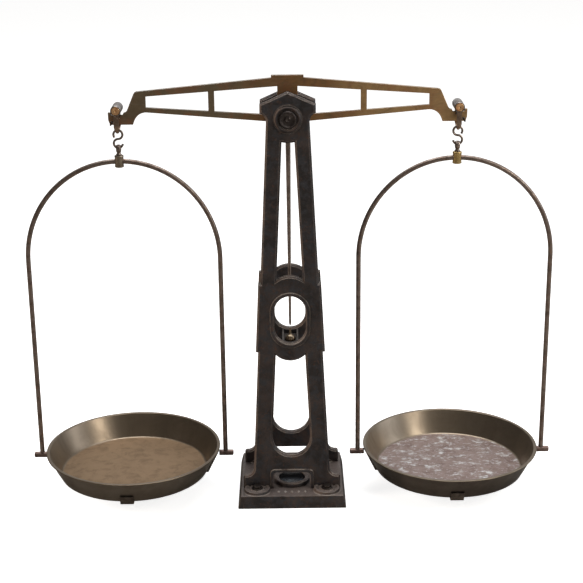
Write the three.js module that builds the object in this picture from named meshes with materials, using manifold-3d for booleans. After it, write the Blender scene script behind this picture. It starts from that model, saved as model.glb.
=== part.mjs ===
// Equal arm balance scale with two hanging pans. Millimetres, +Z up, +X to the right, front towards -Y.
// The origin is the middle of the base plate's underside.
import * as THREE from 'three';
import { mergeVertices } from 'three/addons/utils/BufferGeometryUtils.js';
import Module from 'manifold-3d';

const wasm = await Module();
wasm.setup();

// Driving dimensions
const gap = 0.3; // between pieces that touch
const arm = 219.4; // centre knife to end knife, along X
const centreKnifeZ = 533;
const endKnifeZ = 531;
const knifeHalfAngle = Math.PI / 6;
const notchHalfAngle = Math.PI / 3;

const base = { width: 147, topWidth: 139, height: 17 };
const lozenge = { count: 5, pitch: 9, halfWidth: 3, halfLength: 4.4, height: 1, y: -57 };

const frame = {
  thickness: 10,
  chamferDepth: 2.2,
  chamferWidth: 2.8,
  footOffset: 41, // column centre to the casting's middle plane, at the top of the base
  lean: 0.0504, // inward shift per millimetre of height
  footHalf: 66,
  footTop: 36,
  footFillet: 10,
  legTop: 521,
  legHalfAtFoot: 51.6,
  legHalfAtTop: 27.9,
  lowerLeg: 24, // leg width under the collar
  upperLeg: 21.1, // leg width over the collar
};
const foot = { archHalf: 25.5, archTop: 41, borderWidth: 4, borderHeight: 1.6 };
const collar = { bottom: 212, top: 307, step: 3 };
const ring = { radius: 20.8, bottom: 224.5, top: 289, rimWidth: 3, rimHeight: 1.2 };
const ringEnd = { lowest: 200, lowerRadius: 28, highest: 317, upperRadius: 30 };
const lowerOpeningBottom = 65;
const head = { half: 36, cornerZ: 531.5, shoulderZ: 543, apexZ: 559, chinZ: 493, chinRadius: 33 };
const neck = { x: 28.6, z: 528.5 }; // control point of the curve from leg to head
const boss = { z: 524, radius: 17.5, recess: 11.4 };
const lug = { x: 47.5, y: -51.5, radius: 17.5, height: 4.4 };
const bolt = { y: -53.5, radius: 4, acrossFlats: 10.6, headHeight: 4, length: 16 };

const bearing = { halfWidth: 10, bottom: 513, top: 536, inner: 3.2, outer: 9.4 };
const stud = { shank: 4.5, head: 11 };
const level = { y: -21, radius: 24.5, height: 6, well: 18, wellDepth: 4 };
const index = { half: 11, floor: 215, wall: 2.4, height: 8.5, halfLength: 25.1, tip: 234.5 };

const beam = {
  thickness: 5,
  blockHalf: 20.8,
  blockTop: 577.4,
  chordTopCentre: 574,
  shoulderX: 195.6,
  shoulderZ: 558,
  postHalf: 13,
  postX: 97.7,
  postWidth: 7.8,
  windowEnd: 181.8,
  windowSlope: 0.0682, // both window edges close on each other by this much per millimetre
  windowTopCentre: 564,
  windowBottomCentre: 525,
  chordBottomHub: 517.2,
  chordBottomEnd: 531.1,
  hubHalf: 20,
  hubTop: 543, // where the windows' inner corners leave the hub
  hubShoulder: 551,
  tongueHalf: 12,
  tongueBottom: 505,
};
const nose = { bottom: 515.4, innerX: 199, outerX: 230.8, saddleZ: 528, saddleHalf: 7.4, hornZ: 531.2 };
const knife = { centreHeight: 6.5, centreHalfLength: 9.4, endHeight: 6, endHalfLength: 9.6 };
const keeper = { x: 226, z: 518.6, radius: 1.2, halfLength: 18 };
const socket = { half: 13, outer: 7, bottom: 497, slotFloor: 504.6, top: 511 };
const pointer = { collar: 5, collarLength: 6, topRadius: 3.3, tipRadius: 1.6, tip: 237 };

const shackle = { tube: 6.7, tubeHalf: 14.5, tubeRise: 4.6, strapY: 11.8, strapThick: 2.6, barWidth: 3.4 };
const shackleBarZ = 505; // middle of the bar at the bottom of the shackle
const plug = { radius: 5.5, length: 3 };
const hook = { wire: 1.5, loop: 5.8, upperZ: 502.3, upperGapStart: -40, lowerTip: -172 };
const eye = { ring: 4, wire: 1.3, halfWidth: 3.1, z: 484, stem: 2.9, pin: 2 };
const ferrule = { radius: 6, bottom: 459.4, top: 475.2, pinHole: 2.3, pinHoleBottom: 472 };
const hanger = { wire: 3.2, half: 127.5, apex: 467.1, rise: 133.9, foot: 54.9 };
const stubPin = { radius: 4, z: 50.6, inner: 118.6, outer: 138.5 };
const pan = {
  floorZ: 27.4,
  sheet: 2,
  floorRadius: 100,
  wallX: 102.4,
  wallZ: 29.2,
  lipX: 117.2,
  lipZ: 59.4,
  rim: 120,
  top: 61.2,
};
const cradle = {
  topZ: 27,
  thick: 2.4,
  bendX: 101.75,
  armTop: 57,
  tabTop: 38,
  halfWidth: 9,
  wallSlope: 0.49,
};

// Finishes
function finish(color, roughness, metalness) {
  return () => new THREE.MeshStandardMaterial({ color, roughness, metalness });
}
const castIron = finish(0x35302d, 0.6, 0.6);
const agedBrass = finish(0x8a6a35, 0.42, 0.9);
const darkBrass = finish(0x6d5f40, 0.45, 0.9);
const brownSteel = finish(0x6a5e54, 0.45, 0.9);
const hardSteel = finish(0x9a9a98, 0.3, 1);
const copper = finish(0xb5713f, 0.35, 0.9);
const glass = finish(0xa9b8b4, 0.08, 0);

// Solids: joins and cuts
function toSolid(geometry) {
  const bare = geometry.clone();
  bare.deleteAttribute('normal');
  bare.deleteAttribute('uv');
  const merged = mergeVertices(bare, 1e-4);
  const vertProperties = new Float32Array(merged.attributes.position.array);
  const triVerts = new Uint32Array(merged.index.array);
  return new wasm.Manifold(new wasm.Mesh({ numProp: 3, vertProperties, triVerts }));
}

function toGeometry(solid) {
  const mesh = solid.getMesh();
  const geometry = new THREE.BufferGeometry();
  geometry.setAttribute('position', new THREE.BufferAttribute(new Float32Array(mesh.vertProperties), 3));
  geometry.setIndex(new THREE.BufferAttribute(new Uint32Array(mesh.triVerts), 1));
  geometry.computeVertexNormals();
  return geometry;
}

function joined(first, ...others) {
  return toGeometry(others.reduce((solid, other) => solid.add(toSolid(other)), toSolid(first)));
}

function cut(body, ...tools) {
  return toGeometry(tools.reduce((solid, tool) => solid.subtract(toSolid(tool)), toSolid(body)));
}

// Basic shapes
function turnedZ(profile, segments) {
  const points = profile.map(([radius, height]) => new THREE.Vector2(radius, height));
  return new THREE.LatheGeometry(points, segments).rotateX(Math.PI / 2);
}

function turnedY(profile, segments) {
  // Heights in the profile run towards -Y.
  return turnedZ(profile, segments).rotateX(Math.PI / 2);
}

function rodZ(radius, bottom, top, segments = 12) {
  return turnedZ([[0, bottom], [radius, bottom], [radius, top], [0, top]], segments);
}

function rodY(radius, x, z, halfLength, segments = 12) {
  return turnedY([[0, -halfLength], [radius, -halfLength], [radius, halfLength], [0, halfLength]], segments)
    .translate(x, 0, z);
}

function rodX(radius, from, to, z, segments = 12) {
  return rodZ(radius, from, to, segments).rotateY(Math.PI / 2).translate(0, 0, z);
}

function box(width, depth, bottom, top) {
  return new THREE.BoxGeometry(width, depth, top - bottom).translate(0, 0, (bottom + top) / 2);
}

// A flat outline in X and Z, as a plate centred on Y = 0.
function plate(shape, thickness, options = {}) {
  const { depth = 0, width = 0, curveSegments = 8 } = options;
  const geometry = new THREE.ExtrudeGeometry(shape, {
    depth: thickness - 2 * depth,
    bevelEnabled: depth > 0,
    bevelThickness: depth,
    bevelSize: width,
    bevelOffset: -width,
    bevelSegments: 1,
    curveSegments,
  });
  return geometry.translate(0, 0, -(thickness - 2 * depth) / 2).rotateX(Math.PI / 2);
}

function polygon(points) {
  return new THREE.Shape(points.map(([x, z]) => new THREE.Vector2(x, z)));
}

// The outline of a right-hand path and its mirror image across X = 0, counter-clockwise.
function mirrored(path, divisions) {
  const right = path.getPoints(divisions);
  const left = right.map((point) => new THREE.Vector2(-point.x, point.y)).reverse();
  const offAxis = (point, place, list) => place === 0 || point.distanceTo(list[place - 1]) > 1e-3;
  const all = right.concat(left).filter(offAxis);
  if (all[0].distanceTo(all[all.length - 1]) < 1e-3) all.pop();
  if (THREE.ShapeUtils.isClockWise(all)) all.reverse();
  return new THREE.Shape(all);
}

// An edge-up triangle, with its edge on the origin.
function wedge(height, halfAngle, spare = 0) {
  const half = height * Math.tan(halfAngle) + spare * 1.8;
  return [[0, spare * 2], [half, -height - spare], [-half, -height - spare]];
}

// A planar curve in X and Z, swept with an oval section.
class PlaneCurve extends THREE.Curve {
  constructor(pointAt) {
    super();
    this.pointAt = pointAt;
    this.arcLengthDivisions = 400;
  }

  getPoint(t, target = new THREE.Vector3()) {
    const [x, z] = this.pointAt(t);
    return target.set(x, 0, z);
  }
}

function swept(pointAt, steps, radius, sides) {
  const section = new THREE.Shape();
  section.absarc(0, 0, radius, 0, 2 * Math.PI);
  const outline = section.getSpacedPoints(sides).slice(0, sides);
  return new THREE.ExtrudeGeometry(new THREE.Shape(outline), { steps, extrudePath: new PlaneCurve(pointAt) });
}

// Column castings. Each is drawn upright on Y = 0, then leaned back to its place at the front.
const legRise = frame.legTop - frame.footTop - frame.footFillet;
const legSlope = (frame.legHalfAtFoot - frame.legHalfAtTop) / legRise;
const legOuter = (z) => frame.legHalfAtTop + (frame.legTop - z) * legSlope;
const planeOffset = (z) => frame.footOffset - frame.lean * (z - base.height);

function frameOutline() {
  const right = new THREE.Path();
  const filletZ = frame.footTop + frame.footFillet;
  right.moveTo(foot.archHalf, foot.archTop);
  right.lineTo(foot.archHalf, base.height);
  right.lineTo(frame.footHalf, base.height);
  right.lineTo(frame.footHalf, frame.footTop);
  const filletX = legOuter(filletZ) + frame.footFillet;
  right.absarc(filletX, filletZ, frame.footFillet, -Math.PI / 2, -Math.PI, true);
  right.lineTo(legOuter(collar.bottom), collar.bottom);
  right.lineTo(legOuter(collar.bottom) + collar.step, collar.bottom);
  right.lineTo(legOuter(collar.top) + collar.step, collar.top);
  right.lineTo(legOuter(collar.top), collar.top);
  right.lineTo(frame.legHalfAtTop, frame.legTop);
  right.quadraticCurveTo(neck.x, neck.z, head.half, head.cornerZ);
  right.lineTo(head.half, head.shoulderZ);
  right.lineTo(0, head.apexZ);
  return mirrored(right, 4);
}

// Half of the angle that an arc of this radius spans between two points this far from the middle line.
const arcHalfAngle = (halfWidth, radius) => Math.asin(halfWidth / radius);

function lowerOpening() {
  const right = new THREE.Path();
  const radius = legOuter(lowerOpeningBottom + 25) - frame.lowerLeg;
  const topHalf = legOuter(ringEnd.lowest + 8) - frame.lowerLeg;
  const angle = arcHalfAngle(topHalf, ringEnd.lowerRadius);
  const topZ = ringEnd.lowest + ringEnd.lowerRadius;
  right.absarc(0, lowerOpeningBottom + radius, radius, -Math.PI / 2, 0, false);
  right.absarc(0, topZ, ringEnd.lowerRadius, angle - Math.PI / 2, -Math.PI / 2, true);
  return mirrored(right, 4);
}

function ringOpening() {
  const right = new THREE.Path();
  right.absarc(0, ring.bottom + ring.radius, ring.radius, -Math.PI / 2, 0, false);
  right.absarc(0, ring.top - ring.radius, ring.radius, 0, Math.PI / 2, false);
  return mirrored(right, 5);
}

function upperOpening() {
  const right = new THREE.Path();
  const lowHalf = legOuter(ringEnd.highest - 5) - frame.upperLeg;
  const highHalf = legOuter(head.chinZ) - frame.upperLeg;
  const lowAngle = arcHalfAngle(lowHalf, ringEnd.upperRadius);
  const highAngle = arcHalfAngle(highHalf, head.chinRadius);
  const lowZ = ringEnd.highest - ringEnd.upperRadius;
  const highZ = head.chinZ + head.chinRadius;
  right.absarc(0, lowZ, ringEnd.upperRadius, Math.PI / 2, Math.PI / 2 - lowAngle, true);
  right.absarc(0, highZ, head.chinRadius, highAngle - Math.PI / 2, -Math.PI / 2, true);
  return mirrored(right, 2);
}

function archBorder() {
  const outer = foot.archHalf + foot.borderWidth;
  const inner = foot.archHalf - gap;
  const top = foot.archTop + foot.borderWidth;
  const innerTop = foot.archTop - gap;
  const outline = [[outer, base.height], [outer, top], [-outer, top], [-outer, base.height]];
  outline.push([-inner, base.height], [-inner, innerTop], [inner, innerTop], [inner, base.height]);
  return plate(polygon(outline), 4).translate(0, 2 - frame.thickness / 2 - foot.borderHeight, 0);
}

function ringRim() {
  const outer = new THREE.Path();
  const radius = ring.radius + frame.chamferWidth + ring.rimWidth;
  outer.absarc(0, ring.bottom + ring.radius, radius, -Math.PI / 2, 0, false);
  outer.absarc(0, ring.top - ring.radius, radius, 0, Math.PI / 2, false);
  const inner = new THREE.Path();
  const innerRadius = ring.radius + frame.chamferWidth * 0.6;
  inner.absarc(0, ring.bottom + ring.radius, innerRadius, -Math.PI / 2, 0, false);
  inner.absarc(0, ring.top - ring.radius, innerRadius, 0, Math.PI / 2, false);
  const shape = mirrored(outer, 4);
  shape.holes.push(mirrored(inner, 4));
  return plate(shape, 3).translate(0, 1.5 - frame.thickness / 2 - ring.rimHeight, 0);
}

function headBoss() {
  const face = frame.thickness / 2;
  const profile = [
    [0, face - 1],
    [boss.radius, face - 1],
    [boss.radius, face + 0.8],
    [boss.radius - 1.5, face + 2.8],
    [boss.radius - 4, face + 3.8],
    [boss.recess + 0.4, face + 3.6],
    [boss.recess, face + 1.2],
    [0, face + 1.2],
  ];
  return turnedY(profile, 18).translate(0, 0, boss.z);
}

function frameGeometry() {
  const shape = frameOutline();
  shape.holes.push(lowerOpening(), ringOpening(), upperOpening());
  const casting = plate(shape, frame.thickness, { depth: frame.chamferDepth, width: frame.chamferWidth });
  const extras = [archBorder(), ringRim(), headBoss()];
  const holes = [rodY(stud.shank + gap, 0, boss.z, 30, 12)];
  const localY = planeOffset(base.height);
  for (const side of [-1, 1]) {
    const lugPlace = [side * lug.x, lug.y + localY, 0];
    const boltPlace = [side * lug.x, bolt.y + localY, 0];
    extras.push(rodZ(lug.radius, base.height, base.height + lug.height, 18).translate(...lugPlace));
    holes.push(rodZ(bolt.radius + 0.6, 0, base.height + 2 * lug.height).translate(...boltPlace));
  }
  const solid = cut(joined(casting, ...extras), ...holes);
  const leaned = new THREE.Matrix4().set(
    1, 0, 0, 0,
    0, 1, frame.lean, -planeOffset(0),
    0, 0, 1, 0,
    0, 0, 0, 1,
  );
  return solid.applyMatrix4(leaned);
}

function bearingBlockGeometry() {
  const apex = centreKnifeZ - gap;
  const notchHalf = (bearing.top - apex) * Math.tan(notchHalfAngle);
  const shape = polygon([
    [bearing.halfWidth, bearing.bottom],
    [bearing.halfWidth, bearing.top],
    [notchHalf, bearing.top],
    [0, apex],
    [-notchHalf, bearing.top],
    [-bearing.halfWidth, bearing.top],
    [-bearing.halfWidth, bearing.bottom],
  ]);
  const hole = new THREE.Path().absarc(0, boss.z, stud.shank + gap, 0, 2 * Math.PI);
  shape.holes.push(hole);
  return plate(shape, bearing.outer - bearing.inner).translate(0, -(bearing.inner + bearing.outer) / 2, 0);
}

function bearingStudGeometry() {
  const face = planeOffset(boss.z) + frame.thickness / 2;
  const under = face + 2;
  const profile = [
    [0, bearing.inner + 1],
    [stud.shank, bearing.inner + 1],
    [stud.shank, under],
    [stud.head, under],
    [stud.head, under + 2],
    [stud.head - 1, under + 3],
    [stud.head - 2.4, under + 2.8],
    [stud.head - 3, under + 1.6],
    [3.6, under + 1.4],
    [3, under + 2.2],
    [0, under + 2.4],
  ];
  return turnedY(profile, 16).translate(0, 0, boss.z);
}

function boltGeometry() {
  const seat = base.height + lug.height + gap;
  const corner = bolt.acrossFlats / Math.sqrt(3);
  const hexagon = rodZ(corner, seat, seat + bolt.headHeight, 6).rotateZ(Math.PI / 2);
  const shank = rodZ(bolt.radius, seat - bolt.length, seat + 1);
  return joined(hexagon, shank);
}

// Base plate, spirit level and index
function lozengeGeometry(place) {
  const x = (place - (lozenge.count - 1) / 2) * lozenge.pitch;
  const diamond = new THREE.CylinderGeometry(1, 1, lozenge.height + 1, 4).rotateX(Math.PI / 2);
  diamond.scale(lozenge.halfWidth, lozenge.halfLength, 1);
  return diamond.translate(x, lozenge.y, base.height + (lozenge.height - 1) / 2);
}

function basePlateGeometry() {
  const block = box(base.width, base.width, 0, base.height);
  const position = block.attributes.position;
  const taper = base.topWidth / base.width;
  for (let corner = 0; corner < position.count; corner += 1) {
    if (position.getZ(corner) < base.height / 2) continue;
    position.setXY(corner, position.getX(corner) * taper, position.getY(corner) * taper);
  }
  const marks = Array.from({ length: lozenge.count }, (_, place) => lozengeGeometry(place));
  const holes = [];
  for (const x of [-lug.x, lug.x]) {
    for (const y of [-bolt.y, bolt.y]) {
      holes.push(rodZ(bolt.radius + gap, 4, 40).translate(x, y, 0));
    }
  }
  return cut(joined(block, ...marks), ...holes);
}

function levelCaseGeometry() {
  const bottom = base.height + gap;
  const top = bottom + level.height;
  const profile = [
    [0, bottom],
    [level.radius, bottom],
    [level.radius, top - 1],
    [level.radius - 1, top],
    [level.well + 1, top],
    [level.well, top - 1],
    [level.well, top - level.wellDepth],
    [0, top - level.wellDepth],
  ];
  return turnedZ(profile, 24);
}

function levelGlassGeometry() {
  const bottom = base.height + level.height - level.wellDepth + 2 * gap;
  const radius = level.well - gap;
  const lens = [[radius, bottom + 2], [radius * 0.6, bottom + 2.8], [0, bottom + 3]];
  return turnedZ([[0, bottom], [radius, bottom], ...lens], 20);
}

function indexBridgeGeometry() {
  const inner = index.half - index.wall;
  const top = index.floor + index.height;
  const shape = polygon([
    [-index.half, index.floor],
    [index.half, index.floor],
    [index.half, top],
    [inner, top],
    [inner, index.floor + index.wall],
    [-inner, index.floor + index.wall],
    [-inner, top],
    [-index.half, top],
  ]);
  return plate(shape, 2 * index.halfLength);
}

function indexPinGeometry() {
  const seat = index.floor + index.wall + gap;
  const knob = [[0, seat], [7.4, seat], [7.4, seat + 2.4], [6, seat + 5], [3, seat + 7]];
  const needle = [[1.3, seat + 8], [1.1, index.tip - 2.5], [0, index.tip]];
  return turnedZ([...knob, ...needle], 16);
}

// Beam and what is fixed in it
// The dovetail slot that holds an end knife: floor height, and half width at a height.
const slotFloor = endKnifeZ - knife.endHeight - gap;
const slotHalf = (z) => (endKnifeZ - z) * Math.tan(knifeHalfAngle) + 0.4;

function beamOutline() {
  const right = new THREE.Path();
  right.moveTo(beam.blockHalf, beam.blockTop);
  right.lineTo(beam.blockHalf, beam.chordTopCentre);
  right.lineTo(beam.shoulderX, beam.shoulderZ);
  right.lineTo(arm - 12, nose.hornZ);
  right.lineTo(arm - nose.saddleHalf - 1.4, nose.hornZ);
  right.lineTo(arm - nose.saddleHalf, nose.saddleZ);
  right.lineTo(arm - slotHalf(nose.saddleZ), nose.saddleZ);
  right.lineTo(arm - slotHalf(slotFloor), slotFloor);
  right.lineTo(arm + slotHalf(slotFloor), slotFloor);
  right.lineTo(arm + slotHalf(nose.saddleZ), nose.saddleZ);
  right.lineTo(arm + nose.saddleHalf, nose.saddleZ);
  right.lineTo(arm + nose.saddleHalf + 1, nose.hornZ);
  right.lineTo(nose.outerX, nose.hornZ);
  right.lineTo(nose.outerX - 0.2, nose.bottom + 6);
  right.lineTo(nose.outerX - 2.4, nose.bottom);
  right.lineTo(nose.innerX, nose.bottom);
  right.quadraticCurveTo(nose.innerX - 4.5, beam.chordBottomEnd - 0.4, beam.windowEnd, beam.chordBottomEnd);
  right.lineTo(beam.hubHalf, beam.chordBottomHub);
  right.lineTo(beam.tongueHalf, beam.chordBottomHub - 5);
  right.lineTo(beam.tongueHalf, beam.tongueBottom);
  return mirrored(right, 8);
}

const windowTop = (x) => beam.windowTopCentre - beam.windowSlope * x;
const windowBottom = (x) => beam.windowBottomCentre + beam.windowSlope * x;

function beamWindows(side) {
  const postInner = beam.postX - beam.postWidth / 2;
  const postOuter = beam.postX + beam.postWidth / 2;
  const inner = [
    [beam.postHalf, windowTop(beam.postHalf)],
    [postInner, windowTop(postInner)],
    [postInner, windowBottom(postInner)],
    [beam.hubHalf, windowBottom(beam.hubHalf)],
    [beam.hubHalf, beam.hubTop],
    [beam.postHalf, beam.hubShoulder],
  ];
  const outer = [
    [postOuter, windowTop(postOuter)],
    [beam.windowEnd, windowTop(beam.windowEnd)],
    [beam.windowEnd, windowBottom(beam.windowEnd)],
    [postOuter, windowBottom(postOuter)],
  ];
  return [inner, outer].map((points) => polygon(points.map(([x, z]) => [side * x, z])));
}

function beamGeometry() {
  const shape = beamOutline();
  shape.holes.push(...beamWindows(-1), ...beamWindows(1));
  const slot = wedge(knife.centreHeight, knifeHalfAngle, gap).map(([x, z]) => [x, centreKnifeZ - z]);
  shape.holes.push(polygon(slot));
  for (const side of [-1, 1]) {
    shape.holes.push(new THREE.Path().absarc(side * keeper.x, keeper.z, keeper.radius + gap, 0, 2 * Math.PI));
  }
  return plate(shape, beam.thickness, { curveSegments: 5 });
}

function centreKnifeGeometry() {
  const points = wedge(knife.centreHeight, knifeHalfAngle).map(([x, z]) => [x, centreKnifeZ - z]);
  return plate(polygon(points), 2 * knife.centreHalfLength);
}

function endKnifeGeometry() {
  return plate(polygon(wedge(knife.endHeight, knifeHalfAngle)), 2 * knife.endHalfLength);
}

function pointerSocketGeometry() {
  const slotHalfWidth = beam.thickness / 2 + gap;
  const block = box(2 * socket.half, 2 * socket.outer, socket.bottom, socket.top);
  const slot = box(2 * socket.half + 2, 2 * slotHalfWidth, socket.slotFloor, socket.top + 1);
  return cut(block, slot);
}

function pointerGeometry() {
  const top = socket.bottom - gap;
  const neck = top - pointer.collarLength;
  const profile = [
    [0, top],
    [pointer.collar, top],
    [pointer.collar, neck + 1],
    [pointer.topRadius, neck - 1],
    [pointer.tipRadius, pointer.tip + 4],
    [0, pointer.tip],
  ];
  return turnedZ(profile.reverse(), 12);
}

// Hanging chain. Each piece is drawn on X = 0 at its own height.
function shackleGeometry() {
  const tube = rodY(shackle.tube, 0, endKnifeZ + shackle.tubeRise, shackle.tubeHalf, 20);
  const turnZ = shackleBarZ + shackle.strapY;
  const straight = endKnifeZ + 2 - turnZ;
  const bend = Math.PI * shackle.strapY;
  const total = 2 * straight + bend;
  const strapAt = (t) => {
    const along = t * total;
    if (along < straight) return [-shackle.strapY, turnZ + straight - along];
    if (along > straight + bend) return [shackle.strapY, turnZ + along - straight - bend];
    const angle = Math.PI + (along - straight) / shackle.strapY;
    return [shackle.strapY * Math.cos(angle), turnZ + shackle.strapY * Math.sin(angle)];
  };
  const strap = flattened(swept(strapAt, 20, 1, 8));
  const groove = plate(polygon(wedge(4, notchHalfAngle)), 2 * knife.endHalfLength + 1);
  groove.translate(0, 0, endKnifeZ + gap);
  const seats = [-1, 1].map((side) => {
    const middle = side * (shackle.tubeHalf - plug.length / 2);
    const seat = rodY(plug.radius + gap, 0, endKnifeZ + shackle.tubeRise, plug.length / 2 + 0.4, 16);
    return seat.translate(0, middle, 0);
  });
  return cut(joined(tube, strap), groove, ...seats);
}

// Turns the U across the beam, and makes its round section of radius 1 a bar that widens into flat straps.
function flattened(strap) {
  const position = strap.attributes.position;
  const half = shackle.strapThick / 2;
  const turnZ = shackleBarZ + shackle.strapY;
  for (let place = 0; place < position.count; place += 1) {
    const y = position.getX(place);
    const z = position.getZ(place);
    const [middleY, middleZ] = nearestOnStrap(y, z, turnZ);
    const widen = 1 + THREE.MathUtils.clamp((z - shackleBarZ) / 8, 0, 1);
    const x = -position.getY(place) * (shackle.barWidth / 2) * widen;
    position.setXYZ(place, x, middleY + (y - middleY) * half, middleZ + (z - middleZ) * half);
  }
  return strap;
}

function nearestOnStrap(y, z, turnZ) {
  if (z >= turnZ) return [Math.sign(y) * shackle.strapY, z];
  const reach = Math.hypot(y, z - turnZ);
  return [(y / reach) * shackle.strapY, turnZ + ((z - turnZ) / reach) * shackle.strapY];
}

function plugGeometry() {
  const half = plug.length / 2;
  const profile = [[0, -half], [plug.radius, -half], [plug.radius, half - 0.3], [plug.radius - 0.5, half]];
  return turnedY([...profile, [1.4, half], [0.9, half - 1], [0, half - 1]], 16);
}

function hookGeometry(side) {
  const upperTurn = THREE.MathUtils.degToRad(270 - hook.upperGapStart);
  const lowerTurn = THREE.MathUtils.degToRad(90 - hook.lowerTip);
  const lowerZ = hook.upperZ - 2 * hook.loop;
  const hookAt = (t) => {
    const turned = t * (upperTurn + lowerTurn);
    const upper = turned < upperTurn;
    const angle = upper
      ? THREE.MathUtils.degToRad(hook.upperGapStart) + turned
      : Math.PI / 2 - (turned - upperTurn);
    const z = upper ? hook.upperZ : lowerZ;
    return [side * hook.loop * Math.cos(angle), z + hook.loop * Math.sin(angle)];
  };
  return swept(hookAt, 30, hook.wire, 6);
}

function swivelEyeGeometry() {
  const loop = new THREE.TorusGeometry(eye.ring, eye.wire, 6, 16);
  loop.scale(1, 1, eye.halfWidth / eye.wire).rotateY(Math.PI / 2).translate(0, 0, eye.z);
  const shoulder = ferrule.top + gap;
  const stemTop = eye.z - eye.ring - 0.2;
  const profile = [
    [0, ferrule.pinHoleBottom + gap],
    [eye.pin, ferrule.pinHoleBottom + gap],
    [eye.pin, shoulder],
    [eye.stem + 0.8, shoulder],
    [eye.stem + 0.6, shoulder + 1.6],
    [eye.stem - 0.3, shoulder + 3.4],
    [eye.stem, stemTop],
    [0, stemTop],
  ];
  return joined(loop, turnedZ(profile, 14));
}

function ferruleGeometry() {
  const { radius, bottom, top } = ferrule;
  const side = [[radius - 0.6, bottom], [radius, bottom + 0.6], [radius, top - 0.6], [radius - 0.6, top]];
  const barrel = turnedZ([[0, bottom], ...side, [0, top]], 20);
  const wireHole = rodX(hanger.wire + 0.8, -8, 8, hanger.apex, 14);
  const pinHole = rodZ(ferrule.pinHole, ferrule.pinHoleBottom, top + 2);
  return cut(barrel, wireHole, pinHole);
}

function hangerWireGeometry() {
  const spring = hanger.apex - hanger.rise;
  const straight = spring - hanger.foot;
  const arch = (Math.PI * (hanger.half + hanger.rise)) / 2;
  const total = 2 * straight + arch;
  const wireAt = (t) => {
    const along = t * total;
    if (along < straight) return [-hanger.half, hanger.foot + along];
    if (along > straight + arch) return [hanger.half, hanger.foot + total - along];
    const angle = Math.PI * (1 - (along - straight) / arch);
    return [hanger.half * Math.cos(angle), spring + hanger.rise * Math.sin(angle)];
  };
  return swept(wireAt, 48, hanger.wire, 6);
}

function stubPinGeometry(side) {
  const { radius, inner, outer } = stubPin;
  const profile = [[0, inner], [radius, inner], [radius, outer - 1.2], [radius - 1.2, outer], [0, outer]];
  const pin = turnedZ(profile, 14).rotateY(Math.PI / 2);
  return pin.rotateZ(side > 0 ? 0 : Math.PI).translate(0, 0, stubPin.z);
}

function cradleBar(height) {
  const { topZ, thick, bendX, wallSlope } = cradle;
  const bend = Math.atan2(1, wallSlope);
  const outerBendX = bendX + thick * Math.tan(bend / 2);
  const innerEndX = bendX + (height - topZ) * wallSlope;
  const outerEndX = innerEndX + thick / Math.sin(bend);
  const right = new THREE.Path();
  right.moveTo(bendX, topZ);
  right.lineTo(innerEndX, height);
  right.lineTo(outerEndX, height);
  right.lineTo(outerBendX, topZ - thick);
  return plate(mirrored(right, 1), 2 * cradle.halfWidth);
}

function cradleGeometry() {
  return joined(cradleBar(cradle.armTop), cradleBar(cradle.tabTop).rotateZ(Math.PI / 2));
}

function panGeometry() {
  const wallLength = Math.hypot(pan.lipX - pan.wallX, pan.lipZ - pan.wallZ);
  const inX = (pan.sheet * (pan.lipZ - pan.wallZ)) / wallLength;
  const inZ = (pan.sheet * (pan.lipX - pan.wallX)) / wallLength;
  const floorTop = pan.floorZ + pan.sheet;
  const profile = [
    [0, pan.floorZ],
    [pan.floorRadius, pan.floorZ],
    [pan.wallX, pan.wallZ],
    [pan.lipX, pan.lipZ],
    [pan.rim - 0.6, pan.lipZ],
    [pan.rim, (pan.lipZ + pan.top) / 2],
    [pan.rim - 0.6, pan.top],
    [pan.lipX - inX + 0.2, pan.top],
    [pan.wallX - inX, pan.wallZ + inZ],
    [pan.floorRadius - 0.4, floorTop],
    [0, floorTop],
  ];
  return turnedZ(profile, 32);
}

// Assembly
const scale = new THREE.Group();

function place(parent, name, geometry, material, position = [0, 0, 0]) {
  const mesh = new THREE.Mesh(geometry, material());
  mesh.name = name;
  mesh.position.set(...position);
  parent.add(mesh);
}

function buildColumn() {
  place(scale, 'base_plate', basePlateGeometry(), castIron);
  place(scale, 'level_case', levelCaseGeometry(), castIron, [0, level.y, 0]);
  place(scale, 'level_glass', levelGlassGeometry(), glass, [0, level.y, 0]);
  place(scale, 'index_bridge', indexBridgeGeometry(), brownSteel);
  place(scale, 'index_pin', indexPinGeometry(), agedBrass);
  for (const end of ['front', 'back']) {
    const half = new THREE.Group();
    half.rotation.z = end === 'front' ? 0 : Math.PI;
    scale.add(half);
    place(half, `${end}_frame`, frameGeometry(), castIron);
    place(half, `${end}_bearing_block`, bearingBlockGeometry(), hardSteel);
    place(half, `${end}_bearing_stud`, bearingStudGeometry(), brownSteel);
    const [first, second] = end === 'front' ? ['left', 'right'] : ['right', 'left'];
    place(half, `${end}_${first}_bolt`, boltGeometry(), brownSteel, [-lug.x, bolt.y, 0]);
    place(half, `${end}_${second}_bolt`, boltGeometry(), brownSteel, [lug.x, bolt.y, 0]);
  }
}

function buildBeam() {
  place(scale, 'beam', beamGeometry(), agedBrass);
  place(scale, 'centre_knife', centreKnifeGeometry(), hardSteel);
  place(scale, 'pointer_socket', pointerSocketGeometry(), agedBrass);
  place(scale, 'pointer', pointerGeometry(), brownSteel);
  for (const [name, side] of [['left', -1], ['right', 1]]) {
    place(scale, `${name}_end_knife`, endKnifeGeometry(), hardSteel, [side * arm, 0, endKnifeZ]);
    const pin = rodY(keeper.radius, side * keeper.x, keeper.z, keeper.halfLength, 10);
    place(scale, `${name}_keeper_pin`, pin, brownSteel);
  }
}

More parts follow.
